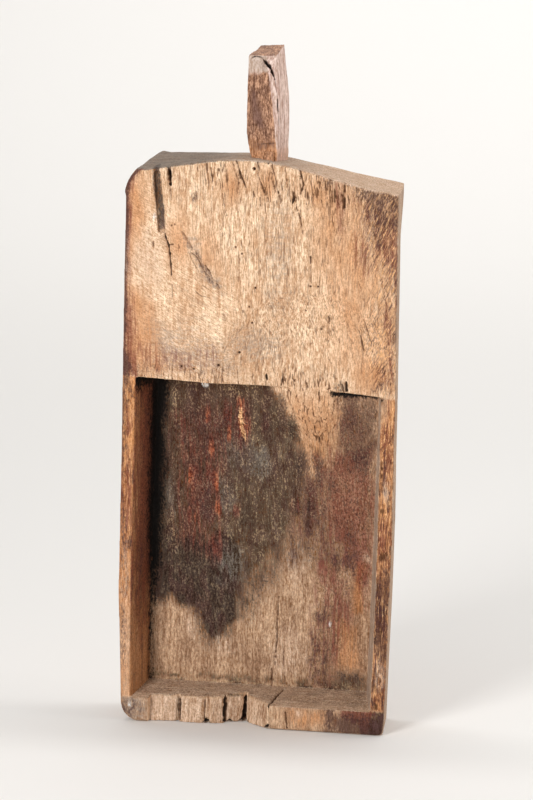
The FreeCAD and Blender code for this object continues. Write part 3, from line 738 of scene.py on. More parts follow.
# Stained spots by mark and zone: strength, across, up, half width, half height
SPOTS = {
    ("rust", "floor"): (
        (0.95, -56, 295, 4, 13), (1.0, -52, 267, 4, 12), (0.9, -66, 280, 2, 22),
        (0.95, -37, 292, 4, 16), (0.95, -22, 290, 8, 20), (0.9, -58, 240, 4, 20),
        (0.9, -72, 240, 8, 10), (0.95, -50, 232, 5, 14), (0.8, -76, 212, 4, 18),
        (0.75, -52, 170, 7, 14), (0.7, 1, 292, 3, 6), (0.7, 34, 212, 3, 14), (0.5, 88, 296, 15, 24),
        (0.8, -64, 216, 3, 22), (0.75, -46, 206, 4, 12), (0.7, -28, 204, 3, 6),
    ),
    ("ember", "floor"): (
        (0.7, -66, 290, 1, 9), (0.7, -36, 275, 2, 6), (0.65, -78, 238, 3, 6),
        (0.65, -48, 231, 2.5, 8), (0.7, -48, 204, 3, 6), (0.7, -17, 287, 2, 8),
        (0.55, -57, 295, 2, 9), (0.6, -70, 196, 1.5, 6), (0.5, -24, 310, 3, 5),
        (0.9, -22, 292, 2.5, 10), (0.5, -53, 262, 3, 8),
    ),
    ("dusk", "floor"): (
        (0.85, -68, 316, 9, 14), (0.6, -48, 290, 5, 26), (0.6, -58, 215, 8, 22),
        (0.8, 2, 300, 5, 22), (0.85, 12, 256, 3.5, 18), (0.6, -32, 282, 4, 22),
        (0.75, 27, 172, 3, 22), (0.5, 56, 188, 3, 12), (0.7, 71, 156, 6, 8), (0.5, 55, 106, 9, 8),
        (0.6, 20, 310, 5, 16), (0.6, -66, 108, 6, 8),
    ),
    ("soot", "floor"): (
        (0.95, 28, 288, 6, 14), (1.0, 34, 250, 5, 24), (0.95, 46, 214, 5, 18),
        (0.9, -24, 192, 8, 10), (1.0, -52, 96, 14, 22), (1.0, -60, 124, 24, 16),
        (0.85, 5, 268, 3, 12), (0.8, 14, 206, 8, 20), (0.85, 44, 192, 5, 16), (0.7, -20, 112, 8, 6),
        (0.75, 84, 40, 16, 8), (0.45, 90, 300, 12, 9),
    ),
    ("ash", "floor"): (
        (0.95, -4, 252, 15, 11), (0.8, -30, 262, 14, 14), (0.8, -36, 150, 12, 18),
        (0.7, -38, 220, 7, 16), (0.6, -96, 210, 6, 18), (0.7, 54, 248, 6, 14),
    ),
    ("dust", "floor"): (
        (0.95, -90, 300, 10, 34), (1.0, -22, 324, 44, 12), (0.9, -9, 280, 9, 24),
        (0.9, -94, 184, 9, 22), (0.85, 18, 240, 9, 34), (0.8, -4, 205, 12, 30),
        (0.9, -6, 160, 12, 14), (0.7, 92, 312, 18, 10), (0.7, 98, 163, 6, 8),
    ),
    ("pale", "floor"): (
        (0.35, 30, 145, 10, 26), (0.5, -42, 66, 10, 12), (0.5, -76, 92, 5, 12),
        (0.6, 20, 62, 16, 22), (0.6, 98, 163, 4, 5),
    ),
    ("chalk", "floor"): (
        (0.9, 62, 94, 1.2, 1.8),
    ),
    ("amber", "face"): (
        (0.6, -74, 470, 12, 26), (0.7, -115, 500, 9, 30), (0.5, -46, 462, 12, 22),
        (0.6, 12, 524, 10, 16), (0.6, 96, 455, 14, 40), (0.45, 120, 420, 14, 60),
        (0.55, -24, 525, 8, 20), (0.5, 60, 515, 10, 18), (0.6, 112, 350, 20, 18),
    ),
    ("rust", "face"): (
        (0.6, 103, 462, 7, 18), (0.55, 128, 400, 5, 24), (0.6, -124, 360, 8, 16),
        (0.6, 122, 345, 8, 10), (0.6, 128, 470, 5, 14), (0.5, -66, 352, 16, 6),
        (0.35, -44, 362, 16, 12), (0.4, -74, 356, 20, 10), (0.5, 82, 500, 6, 24),
    ),
    ("grey", "face"): (
        (0.5, -62, 466, 8, 8), (0.5, 0, 372, 26, 16), (0.34, 22, 460, 14, 60),
        (0.5, -84, 372, 18, 16),
    ),
    ("dusk", "face"): (
        (0.4, -104, 346, 12, 5), (0.55, 116, 336, 7, 6), (0.7, -59, 512, 3, 4),
        (0.5, 70, 528, 5, 10),
    ),
    ("soot", "face"): (
        (0.6, 76, 332, 5, 5),
    ),
    ("chalk", "face"): (
        (0.5, -98, 494, 2, 4),
    ),
    ("pale", "face"): (
        (0.7, 44, 322, 10, 16), (0.5, -104, 450, 20, 30),
    ),
    ("chalk", "lip"): (
        (0.9, -126, 17, 1.6, 1.8),
    ),
    ("pale", "lip"): (
        (0.7, 44, 19, 4, 3),
    ),
    ("amber", "lip"): (
        (0.5, 50, 14, 22, 10), (0.8, 77, 12, 1.5, 6),
    ),
    ("grey", "lip"): (
        (0.7, -122, 14, 14, 16),
    ),
    ("dusk", "lip"): (
        (0.5, -126, 12, 12, 8),
    ),
    ("amber", "right_rim"): (
        (0.9, 117, 100, 4, 10),
    ),
    ("pale", "right_rim"): (
        (0.6, 120, 60, 4, 12), (0.5, 124, 240, 3, 12),
    ),
    ("rust", "right_rim"): (
        (0.8, 122, 190, 8, 20), (0.7, 124, 280, 6, 26), (0.8, 122, 40, 5, 20),
    ),
    ("soot", "right_rim"): (
        (0.8, 124, 120, 6, 8), (0.8, 116, 94, 3, 5),
    ),
    ("soot", "ledge"): (
        (0.6, 94, 24, 12, 30), (0.6, 56, 30, 16, 2),
    ),
    ("dusk", "left_rim"): (
        (0.6, -132, 180, 4, 50), (0.5, -134, 100, 3, 40),
    ),
    ("rust", "left_rim"): (
        (0.7, -128, 220, 6, 40),
    ),
    ("pale", "left_rim"): (
        (0.3, -129, 120, 6, 60),
    ),
    ("amber", "left_rim"): (
        (0.6, -130, 50, 7, 24),
    ),
}

# Bare tongue of the worn ramp, and where the grain of the upper face slants: outlines across and up
TONGUE = ((6, 345), (20, 327), (27, 308), (33, 292), (39, 268), (48, 244), (60, 250), (70, 272),
          (76, 296), (76, 330), (74, 345))
SLANTED_GRAIN = ((-150, 530), (-95, 530), (-60, 450), (-15, 430), (-15, 330), (-150, 330))

# Paleness of the lip's split faces: places across, then strengths
LIP_PALENESS = (-107, -79, -76, -52, -48, 10), (0.9, 0.9, 0.68, 0.64, 0.5, 0.42)


def tray_zones(tray):
    """Share of each point in the parts of the tray that look different."""
    x, y, z = tray.points.T
    nx, ny, nz = tray.normals.T
    facing = soft_step(-ny, 0.4, 0.8)
    border = 1.5 + 24 * soft_step(x, 2, 26) * soft_step(x, 72, 60)
    above = soft_step((z - (STEP_MID - STEP_FALL * x)) / border, -1, 1)
    low = soft_step(z, 26, 22)
    proud = soft_step(-y, 24, 29)
    inner = (1 - above) * (1 - low)
    return {
        "face": facing * above,
        "floor": facing * inner * (1 - proud),
        "left_rim": facing * inner * proud * soft_step(-x, 105, 110),
        "right_rim": facing * inner * proud * soft_step(x, 100, 106),
        "lip": facing * low,
        "ledge": soft_step(nz, 0.5, 0.8) * soft_step(z, 16, 20) * soft_step(z, 60, 45),
        "left_wall": soft_step(nx, 0.5, 0.8) * soft_step(-x, 95, 100) * soft_step(x, -131, -127) * inner,
        "right_wall": soft_step(-nx, 0.5, 0.8) * soft_step(x, 92, 96) * inner,
        "top": soft_step(nz, 0.5, 0.75) * soft_step(z, 480, 490),
        "foot": soft_step(-nz, 0.5, 0.8) * soft_step(z, 30, 20),
        "left_side": soft_step(-nx, 0.5, 0.8) * soft_step(-x, 90, 100),
        "right_side": soft_step(nx, 0.5, 0.8) * soft_step(x, 90, 100),
        "back": soft_step(ny, 0.5, 0.8),
        "slot": above * soft_step(-y, 8, 16),
    }


def fill_corners(tray):
    """Round out the upper corners and lift the end grain, which the solid cuts straight."""
    x, y, z = tray.points.T
    share = np.clip((y - FACE_Y) / THICKNESS, 0, 1)
    right, up = x - (-124.8 + 7.2 * share), z - (514.8 + 9.5 * share)
    along = CORNER_ACROSS * right + CORNER_UP * up
    inside = CORNER_UP * right - CORNER_ACROSS * up
    swell = np.clip(1 - ((along - 12.6) / 17) ** 2, 0, 1)
    bulge = (3.9 + 2.6 * share) * swell * soft_step(inside, 18, 0)
    tray.move[:, 0] -= CORNER_UP * bulge
    tray.move[:, 2] += CORNER_ACROSS * bulge
    lift = soft_step(-x, 30, 96) * soft_step(y, -25, 30) * soft_step(z, 505, 535)
    tray.move[:, 2] += 1.6 * lift
    widen = soft_step(x, 80, 125) * soft_step(z, 465, 518) * soft_step(y, -33, 20)
    tray.move[:, 0] += 2.4 * widen
    raised = soft_step(x, 106, 131) * soft_step(-y, 0, 33) * soft_step(z, 490, 512)
    tray.move[:, 2] += 3.0 * raised
    tray.settle()


def rub_tray(tray):
    """Melt the worn ramp into face and floor and round the arrises, as hands have."""
    x, _, z = tray.points.T
    spot = np.hypot(x - 46, (z - 335) * 0.9)
    front = soft_step(-tray.normals[:, 1], 0.25, 0.6)
    weight = soft_step(spot, 112, 60) * front * soft_step(x, 112, 104)
    crisp_left = soft_step(x, -6, 22)
    crisp_right = 1 - soft_step(x, 70, 80) * soft_step(np.abs(z - 327), 16, 8)
    tray.smooth(weight * crisp_left * crisp_right, 60)
    x, y, z = tray.points.T
    away = np.hypot(x - np.interp(z, *np.transpose(LEFT_ARRIS)), y - FACE_Y)
    tray.smooth(soft_step(away, 8, 2) * soft_step(z, 30, 45) * soft_step(z, 336, 326), 24)
    x, _, z = tray.points.T
    tray.smooth(soft_step(np.hypot(x - 133, z - 1), 17, 6), 40)
    tray.smooth(np.full(len(tray.points), 0.6), 2)


def hew_tray(tray, zones, settings):
    """Adze waves, torn fibres and the rough damage of rims, lip and ends."""
    p = tray.points
    x, y, z = p.T
    hew = settings.hew_depth / MM
    sides = zones["left_side"] + zones["right_side"]
    hewn = zones["face"] + zones["back"] + 0.6 * zones["floor"]
    tray.press(hew * noise(p, (38, 38, 72), 1) * hewn)
    tray.press((0.3 * noise(p, (9, 9, 24), 2) + 0.22 * noise(p, (2.6, 2.6, 9), 16)) * zones["face"])
    tray.press(0.5 * noise(p, (40, 40, 64), 3) * sides)
    tray.press(0.2 * noise(p, (9, 9, 44), 4) * (sides + zones["back"]))
    tray.press((0.28 * noise(p, (13, 13, 40), 5) + 0.2 * noise(p, (3, 3, 7), 6)) * zones["floor"])
    tray.press(0.3 * noise(p, (4, 4, 40), 7) * (zones["left_wall"] + zones["right_wall"]))
    tray.press((0.5 * noise(p, (34, 4, 8), 8) + 0.25 * noise(p, (9, 1.8, 4), 9)) * zones["top"])
    tray.press(0.4 * noise(p, (26, 6, 8), 10) * zones["ledge"])
    tray.press((0.5 * noise(p, (7, 9, 16), 11) - 0.2) * zones["left_rim"])

    leaning = np.column_stack((x + 0.42 * z, y, z))
    frayed = soft_step(noise(leaning, (2.2, 2.2, 16), 18), 0.3, 0.62)
    frayed = frayed * soft_step(x, 92, 114) * zones["face"]
    tray.press(-0.5 * frayed)
    tray.mark("cut", 0.2 * frayed)

    rough = settings.rim_depth / MM
    broken = np.clip(noise(p, (4.5, 8, 11), 13, 3) + 0.25, 0, 1)
    edge = zones["right_rim"] + zones["face"] * soft_step(x, 124, 134) * 0.5
    tray.press(-rough * (0.2 + broken) * edge)
    # Painted shade darkens the rim's deepest gouges; the nicks below get the same.
    tray.mark("cut", soft_step(broken, 0.45, 0.85) * 0.6 * edge)
    tray.mark("frayed", edge + (0.08 + 0.5 * soft_step(z, 110, 260)) * zones["left_rim"])
    tray.mark("leaning", zones["face"])
    nicks = soft_step(noise(p, (4, 6, 9), 19, 3), 0.2, 0.6) * zones["left_rim"]
    tray.press(-0.9 * nicks)
    tray.mark("cut", (0.15 + 0.35 * soft_step(z, 60, 200)) * nicks)

    fibre = settings.chip_depth / MM
    split_faces = zones["lip"] * soft_step(x, -108, -106) * soft_step(x, 13, 10)
    tray.press(fibre * (noise(p, (2.6, 40, 44), 14) - 0.2) * split_faces)
    tray.press(0.35 * noise(p, (8, 8, 12), 15) * zones["lip"])
    tray.mark("stringy", split_faces)


def tear_tray(tray, depth):
    """Open the crowds of short tears, the same ones every time."""
    dice = np.random.default_rng(TEAR_SEED)
    for number, left, right, low, high, short, long, lean, strength in TEARS:
        for _ in range(number):
            across, up = dice.uniform(left, right), dice.uniform(low, high)
            length = dice.uniform(short, long)
            drift = (lean + dice.normal(0, 0.07)) * length
            middle = (across + drift * dice.uniform(0.3, 0.7), up - 0.5 * length)
            share = strength * dice.uniform(0.5, 1.0)
            line = ((across, up), middle, (across + drift, up - length))
            tray.split(line, 0.7 + 0.5 * share, depth * share, 0.2 + 0.5 * share, FRONT_PLANE, FRONT)


def gap_under_chips(tray):
    """Ragged gaps between the foot of the chips and the floor, darkened with painted shade."""
    x, _, z = tray.points.T
    facing = soft_step(-tray.normals[:, 1], 0.2, 0.6)
    for middle, half, height, depth in ((-51, 5, 6, 6), (-30, 4, 4, 4), (-17, 6, 8, 6), (11, 5, 7, 6)):
        share = np.clip(1 - np.abs(x - middle) / half - z / height, 0, 1) * facing * (z < height)
        tray.press(-depth * share)
        tray.mark("grime", soft_step(share, 0.0, 0.3))


def pit_tray(tray, zones):
    across = tray.points[:, ::2]
    for x, z, radius in PITS:
        away = np.linalg.norm(across - (x, z), axis=1)
        share = (1 - soft_step(away, 0.4 * radius, 1.3 * radius)) * zones["face"]
        tray.press(-1.4 * radius * share)
        # Painted shade darkens the inside of each hole.
        tray.mark("cut", 0.85 * share)


def stain_tray(tray, zones):
    """Lay the stains on with wandering edges."""
    p = tray.points
    x, _, z = p.T
    across = np.column_stack((
        x + 3.5 * noise(p, (11, 11, 26), 61) + 1.2 * noise(p, (3, 3, 7), 62),
        z + 8 * noise(p, (12, 12, 30), 63) + 2.5 * noise(p, (3.5, 3.5, 8), 64)))
    for (mark, zone), rows in AREAS.items():
        for strength, soft, outline in rows:
            place = across if soft > CRISP_EDGE else p[:, ::2]
            tray.mark(mark, strength * zones[zone] * area(place, outline, soft))
    for (mark, zone), rows in SPOTS.items():
        for strength, middle, height, half_width, half_height in rows:
            away = np.hypot((across[:, 0] - middle) / half_width, (across[:, 1] - height) / half_height)
            tray.mark(mark, strength * zones[zone] * soft_step(away, 1.9, 0.2))
    stain_recess(tray, zones, area(across, TONGUE, 9))
    stain_ends(tray, zones)
    stain_rims(tray, zones)
    stain_outside(tray, zones)
    tray.mark("slant", area(p[:, ::2], SLANTED_GRAIN, 18))


def stain_recess(tray, zones, tongue):
    """The ramp's bare tongue, the dug wood and the walls with the shadow in their corner."""
    p = tray.points
    _, y, z = p.T
    floor, ledge = zones["floor"], zones["ledge"]
    left_wall, right_wall = zones["left_wall"], zones["right_wall"]
    run_out = tongue * soft_step(-tray.normals[:, 1], 0.3, 0.6)
    tray.mark("amber", 0.5 * run_out * soft_step(z, 362, 300))
    tray.mark("torn", run_out)
    tray.mark("dug", 0.8 * run_out * soft_step(z, 330, 250))
    tray.mark("dug", floor * (1 - tongue) + left_wall + right_wall + ledge)
    corner = soft_step(z, 44, 34) * floor + soft_step(y, 0, 12) * ledge
    tray.mark("soot", 0.8 * corner * soft_step(noise(p, (9, 9, 4), 70, 3), -0.3, 0.3))
    tray.mark("soot", 0.27 * ledge)
    tray.mark("dust", 0.9 * corner)
    tray.mark("dust", 0.8 * ledge + 0.4 * left_wall * soft_step(z, 150, 60))
    tray.mark("grey", 0.7 * right_wall)
    tray.mark("rust", left_wall * (0.5 + 0.4 * soft_step(y, -28, -10)) * soft_step(z, 20, 160))
    tray.mark("amber", 0.7 * left_wall)
    tray.mark("dusk", 0.35 * left_wall * soft_step(noise(p, (6, 5, 44), 73, 3), -0.05, 0.4))
    # Painted shade on the left wall: darker deeper into the recess, less so lower down, and dark under
    # the step.
    shade_from = np.interp(z, (40, 120, 200, 330), (8, 5, -3, -6))
    tray.mark("grime", left_wall * soft_step(y - shade_from, -8, 16))
    tray.mark("grime", left_wall * soft_step(z, 314, 336))


def stain_ends(tray, zones):
    """The broken lip and the weathered end grain of top, ledge and foot."""
    x, y, _ = tray.points.T
    lip, top, ledge = zones["lip"], zones["top"], zones["ledge"]
    split_faces = lip * soft_step(x, -108, -106) * soft_step(x, 14, 8)
    tray.mark("pale", split_faces * np.interp(x, *LIP_PALENESS))
    tray.mark("dug", 0.8 * lip + 0.8 * zones["right_side"])
    weathered = np.interp(x, (-120, -40, 30, 90), (1.0, 0.9, 0.75, 0.6))
    tray.mark("grey", weathered * top + 0.5 * ledge + 0.8 * zones["foot"])
    tray.mark("ash", 0.75 * soft_step(-x, 0, 60) * top)
    tray.mark("pale", 0.6 * soft_step(x, 10, 70) * top + (0.55 + 0.3 * soft_step(-y, 16, 28)) * ledge)
    tray.mark("ringed", top + 0.8 * ledge)


def stain_rims(tray, zones):
    """Handling tint and dirt on the rims and along the left edge of the upper face."""
    p = tray.points
    x, _, z = p.T
    face, left_rim, right_rim = zones["face"], zones["left_rim"], zones["right_rim"]
    tray.mark("amber", 0.7 * left_rim * soft_step(z, 70, 170) + 0.5 * left_rim)
    tray.mark("grey", 0.45 * left_rim * soft_step(z, 220, 80))
    tray.mark("amber", 0.9 * right_rim)
    rims = (left_rim * soft_step(z, 20, 230) + right_rim
            + 0.6 * face * soft_step(np.abs(x), 120, 130))
    tray.mark("rust", 0.8 * rims * soft_step(noise(p, (5, 5, 18), 67, 3), -0.1, 0.35))
    tray.mark("dusk", 0.8 * rims * soft_step(noise(p, (4, 4, 16), 68, 3), 0.05, 0.45))
    inward = x - np.interp(z, *LEFT_EDGE) + 1.5 * noise(p, (4, 4, 12), 72, 3)
    tray.mark("dusk", 0.9 * soft_step(inward, 4.5, 1.5) * face)
    tray.mark("rust", 0.8 * soft_step(inward, 10, 2) * face)


def stain_outside(tray, zones):
    """Browned and streaked wood of the sides and the back."""
    back, left_side, right_side = zones["back"], zones["left_side"], zones["right_side"]
    tray.mark("grey", 0.5 * right_side)
    tray.mark("amber", 0.45 * (back + left_side))
    tray.mark("dug", 0.9 * back + 0.9 * left_side)
    tray.mark("grey", 0.35 * back + 0.3 * left_side)
    streaks = soft_step(noise(tray.points, (9, 9, 70), 74, 3), 0.1, 0.55)
    tray.mark("dusk", 0.5 * streaks * (back + left_side + 0.7 * right_side))


def tray_finish(settings):
    """Bare wood with grain along the plank, stains by place, weathered ends and dark splits."""
    wood = WoodFinish("tray_wood", bend=8.0)
    slant = wood.marked("slant")
    fibre = wood.swap(wood.noise((1.0, 1.0, 7), 1, 4, 0.62),
                      wood.noise((1.0, 1.0, 5), 7, 4, 0.62, slanted=60), slant * 0.7)
    strand = wood.noise((2.4, 2.4, 50), 2, 4, 0.6)
    cloud = wood.noise((20, 20, 45), 3, 3)
    patch = wood.noise((7, 7, 15), 10, 3, 0.6)
    speck = wood.noise((1.7, 1.7, 3.0), 4, 3, 0.6)
    pepper = wood.noise((1.15, 1.15, 1.6), 8, 2)
    ring = wood.noise((26, 1.5, 2.4), 6, 4)
    split = wood.noise((1.3, 9, 46), 9, 4)
    lean = wood.swap(wood.noise((1.3, 1.3, 13), 13, 4, 0.65),
                     wood.noise((1.3, 1.3, 12), 11, 4, 0.65, slanted=-26), wood.marked("leaning"))
    hair = wood.swap(wood.lines((5, 5, 70), 5, 0.5),
                     wood.lines((5, 5, 30), 12, 0.5, slanted=60), slant * 0.8)

    tone = fibre * 0.33 + strand * 0.27 + cloud * 0.22 + patch * 0.18
    bare = wood.blend(rgb(settings.bare_dark), rgb(settings.bare_light), tone.between(0.2, 0.78))
    bare = wood.blend(bare, rgb(settings.fleck), hair * patch.between(0.3, 0.75) * 0.4)
    dug = wood.blend(rgb(settings.dug_dark), rgb(settings.dug_light),
                     (fibre * 0.25 + speck * 0.2 + strand * 0.2 + cloud * 0.35).between(0.1, 0.9))
    dug = wood.blend(dug, rgb(settings.fleck), pepper.between(0.6, 0.95) * 0.25)
    inside = wood.marked("dug")
    colour = wood.blend(bare, dug, wood.ragged(inside, strand * 0.5 + speck * 0.5, 1.0))

    soot, stringy, frayed = wood.marked("soot"), wood.marked("stringy"), wood.marked("frayed")
    rust = wood.marked("rust")
    bruise = wood.noise((10, 10, 26), 21, 3, 0.6)
    layers = (
        ("grey", settings.grey, ring * 0.5 + speck * 0.5, 0.9, 0.8),
        ("amber", settings.amber, strand * 0.5 + fibre * 0.5, 0.9, 0.75),
        ("soot", settings.soot, strand * 0.3 + pepper * 0.25 + speck * 0.45, 1.8, 0.92),
        ("ash", settings.ash, patch * 0.4 + speck * 0.6, 1.0, 0.7),
        ("rust", settings.rust, strand * 0.6 + patch * 0.25 + speck * 0.15, 1.6, 0.82),
        ("dusk", settings.dusk, patch * 0.4 + speck * 0.6, 1.6, 0.85),
        ("ember", settings.ember, strand * 0.7 + speck * 0.3, 1.8, 0.88),
        ("pale", settings.pale, strand * 0.5 + fibre * 0.5, 0.9, 0.85),
        ("chip", settings.fresh, speck * 0.6 + fibre * 0.4, 1.6, 0.9),
    )
    for name, tint, grain, spread, strength in layers:
        mark = {"soot": soot, "rust": rust}.get(name) or wood.marked(name)
        colour = wood.blend(colour, rgb(tint), wood.ragged(mark, grain, spread) * strength)
    colour = wood.blend(colour, rgb(settings.dusk), soot * bruise.between(0.45, 0.8) * 0.55)
    grains = (pepper * 0.3 + speck * 0.5 + strand * 0.2).between(0.46, 0.78)
    grains = grains * wood.marked("dust") * (patch.between(0.1, 0.75) * 0.5 + 0.25)
    colour = wood.blend(colour, rgb(settings.dust), grains * (rust * -0.6 + 1.0))
    grit = wood.noise((1.5, 1.5, 2.4), 22, 2)
    grit = (grit * 0.65 + fibre * 0.35).between(0.52, 0.8) * inside * (rust * 0.45 + 0.25)
    colour = wood.blend(colour, rgb(settings.soot), grit)
    bundles = patch.between(0.65, 0.3) * 0.5 + 0.35
    colour = wood.blend(colour, rgb(settings.dusk), lean.between(0.5, 0.9) * frayed * bundles)
    bundles = (wood.marked("dusk") * -0.35 + 0.75) * (patch.between(0.3, 0.65) * 0.8 + 0.45)
    colour = wood.blend(colour, rgb(settings.fresh), lean.between(0.42, 0.12) * frayed * bundles)
    # Painted shade: black cast shadows in the recess corner, under the step and in the gaps under the
    # chips, mixed with some dirt.
    grime = wood.ragged(wood.marked("grime"), speck * 0.7 + patch * 0.3, 1.2)
    colour = wood.blend(colour, rgb(settings.grime), grime)
    colour = wood.blend(colour, rgb(settings.chalk), wood.ragged(wood.marked("chalk"), speck, 0.3))
    dashes = wood.noise((2.6, 2.6, 10), 32, 2, 0.5).between(0.46, 0.62)
    torn = wood.lines((3.6, 3.6, 34), 31, 0.42) * dashes * wood.marked("torn")
    colour = wood.blend(colour, rgb(settings.bark), torn * 0.95)
    # Splits, holes and gouges: brown of open fibre where the mark is faint, then near-black painted
    # shade where it is strong.
    cut = wood.marked("cut")
    colour = wood.blend(colour, rgb(settings.bark), cut.between(0.14, 0.55) * 0.8)
    colour = wood.blend(colour, rgb(settings.grime), cut.between(0.45, 0.95) * 0.92)

    value = ((fibre - 0.5) * (cloud * 0.55 + slant * 0.15 + 0.2)
             + (pepper - 0.5) * (soot * 0.5 + rust * 0.3 + 0.35)
             + (speck - 0.5) * (soot * 0.35 + inside * 0.1 + rust * 0.35 + 0.25)
             + (split - 0.5) * (stringy * 0.55)
             + (strand - 0.5) * (soot * 0.25 + inside * 0.28)
             + (patch - 0.5) * (soot * 0.45 + inside * 0.15)
             + (ring - 0.5) * (wood.marked("ringed") * 0.5) + 1.0)
    colour = wood.shade(colour, value)
    height = (fibre * 0.6 + speck * 0.35 + pepper * 0.3 + hair * -0.4 + torn * -0.9
              + split * stringy + lean * frayed)
    return wood.finish(colour, speck * 0.25 + 0.65, height, 0.35)


class DUGOUT_OT_tray(Operator):
    """Build the worn tray over its solid"""

    bl_idname = "dugout.tray"
    bl_label = "Worn Tray"

    def execute(self, context):
        settings = context.scene.dugout_tray
        tray = WorkedCopy("tray_block", "worn_tray", settings.detail)
        fill_corners(tray)
        rub_tray(tray)
        zones = tray_zones(tray)
        hew_tray(tray, zones, settings)
        stain_tray(tray, zones)
        gap_under_chips(tray)
        pit_tray(tray, zones)
        tear_tray(tray, settings.tear_depth / MM)
        for split in SPLITS:
            tray.split(*split, FRONT_PLANE, FRONT)
        tray.split(*LEDGE_SPLIT, LEDGE_PLANE, UP)
        for plane, outward, checks in DRYING_CHECKS:
            for check in checks:
                tray.split(*check, plane, outward)
        piece = tray.finish(settings.triangles)
        piece.data.materials.append(tray_finish(settings))
        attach(piece, "root")
        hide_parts("tray_block")
        return {"FINISHED"}


# The handle and its wedge

HANDLE_TWIST = math.radians(12.7)
HANDLE_MIDDLE = (5.9, 2.0)
HANDLE_HALF = 13.5
SIGHT_AZIMUTH = math.radians(13)
SIGHT_ELEVATION = math.radians(9.5)

# Splits seen from the front right and above: points across and up, width, depth and darkness of the
# painted shade inside
HANDLE_SPLITS = (
    (((-11, 630), (-9.6, 631.2), (-6.8, 632.5), (-4.3, 632.1), (-1, 630.8)), 1.3, 1.2, 0.7),
    (((-1, 630.8), (1.4, 627.4), (3.4, 624.9), (6.2, 622.4), (8.3, 618.7), (9.9, 614.7), (11.1, 610.7)),
     2.4, 6.0, 1.0),
    (((11.1, 610.7), (12.3, 600.5), (13.7, 590.9)), 0.9, 0.6, 0.4),
    (((13.7, 592), (14, 584.5), (14.4, 577)), 1.4, 2.5, 0.9),
    (((14.4, 578), (15.2, 567)), 0.9, 0.6, 0.4),
    # The last split is the gap at the handle's foot, darkened as a painted contact shadow.
    (((-1.2, 550.8), (12, 551.2)), 1.5, 0.6, 0.45),
)

# Right border of the handle's rough front: heights, then places across
HANDLE_BORDER = (539, 556, 581, 601, 613, 622), (12.8, 11.3, 9.2, 6.7, 5.2, 3.7)

# Dark stains on the handle's front: strength, softness of the edge, outline across and up
HANDLE_STAINS = (
    (0.8, 4, ((-9, 612), (-4, 608), (1, 592), (4, 577), (-2, 575), (-9, 584))),
    (0.45, 3, ((-10, 560), (4, 564), (15, 563), (15, 557), (-10, 552))),
)
WEDGE_DETAIL = 0.35 * MM
WEDGE_TRIANGLES = 12000


def sight_plane():
    """Axes across and up that the handle's splits are drawn on, and the way to the viewer."""
    sine, cosine = math.sin(SIGHT_AZIMUTH), math.cos(SIGHT_AZIMUTH)
    rise, level = math.sin(SIGHT_ELEVATION), math.cos(SIGHT_ELEVATION)
    across, up = (cosine, sine, 0), (-rise * sine, rise * cosine, level)
    return (across, up), (sine * level, -cosine * level, rise)


def handle_sides(vectors):
    """Parts of vectors to the right and to the back of the turned handle."""
    sine, cosine = math.sin(HANDLE_TWIST), math.cos(HANDLE_TWIST)
    return vectors[:, 0] * cosine - vectors[:, 1] * sine, vectors[:, 0] * sine + vectors[:, 1] * cosine


def shape_handle(handle, settings):
    """Lift the front left of the sawn top, tear the front and rub the arrises."""
    middle = np.array((*HANDLE_MIDDLE, 0))
    u, v = handle_sides(handle.points - middle)
    z = handle.points[:, 2]
    corner = np.clip(0.5 - u / (2 * HANDLE_HALF), 0, 1) * np.clip(0.5 - v / (2 * HANDLE_HALF), 0, 1)
    handle.move[:, 2] += 5.5 * corner * soft_step(z, 618, 640)
    fuller = np.interp(z, (549, 553, 561, 571, 591, 613, 640), (0, 1.4, 2.5, 3.1, 2.2, 1.1, 0))
    narrower = 2.2 * soft_step(z, 600, 646)
    side = u / HANDLE_HALF
    handle.move[:, 0] -= fuller * np.clip(-side, 0, 1) + narrower * np.clip(side, 0, 1)
    handle.move[:, 2] += 1.8 * soft_step(v, 0, HANDLE_HALF) * soft_step(z, 625, 645)
    handle.settle()
    handle.smooth(np.full(len(handle.points), 0.8), 4)
    p = handle.points
    front = soft_step(-handle_sides(handle.normals)[1], 0.8, 0.95)
    top = soft_step(handle.normals[:, 2], 0.3, 0.6) * soft_step(p[:, 2], 600, 620)
    shown = soft_step(p[:, 2], 544, 552)
    tear = settings.tear_depth / MM
    handle.press((tear * (noise(p, (3, 3, 13), 41, 3) - 0.2) * front + 0.3 * noise(p, (9, 9, 40), 42)
                  + 0.15 * noise(p, (2, 2, 20), 44) + 0.35 * noise(p, (5, 1.6, 4), 43) * top) * shown)
    handle.press(-0.8 * (1 - shown))
    return front, top


def paint_handle(handle, front, top):
    p = handle.points
    x, _, z = p.T
    across = np.column_stack((x + 1.5 * noise(p, (4, 4, 9), 65), z + 3 * noise(p, (4, 4, 9), 66)))
    sight = p @ np.asarray(sight_plane()[0]).T
    facing = soft_step(-handle_sides(handle.normals)[1], 0.45, 0.7) * (1 - top)
    border = np.interp(sight[:, 1], *HANDLE_BORDER)
    left_of_border = soft_step(sight[:, 0] + 0.5 * noise(p, 3, 45) - border, 0.6, -0.6)
    bevel = facing * soft_step(sight[:, 1] + 5 * noise(p, (3, 3, 5), 46, 3), 612, 623) * left_of_border
    handle.mark("rough", facing * left_of_border * (1 - bevel))
    handle.mark("rough", 0.75 * top)
    handle.mark("sawn", bevel)
    foot = np.maximum(facing * left_of_border, 0.5 * soft_step(z, 562, 552))
    handle.mark("amber", 0.85 * soft_step(z, 572, 552) * foot)
    for strength, soft, outline in HANDLE_STAINS:
        handle.mark("dusk", strength * front * area(across, outline, soft))
    handle.mark("dusk", 0.5 * bevel * soft_step(noise(p, (3, 3, 7), 47), 0.0, 0.5))


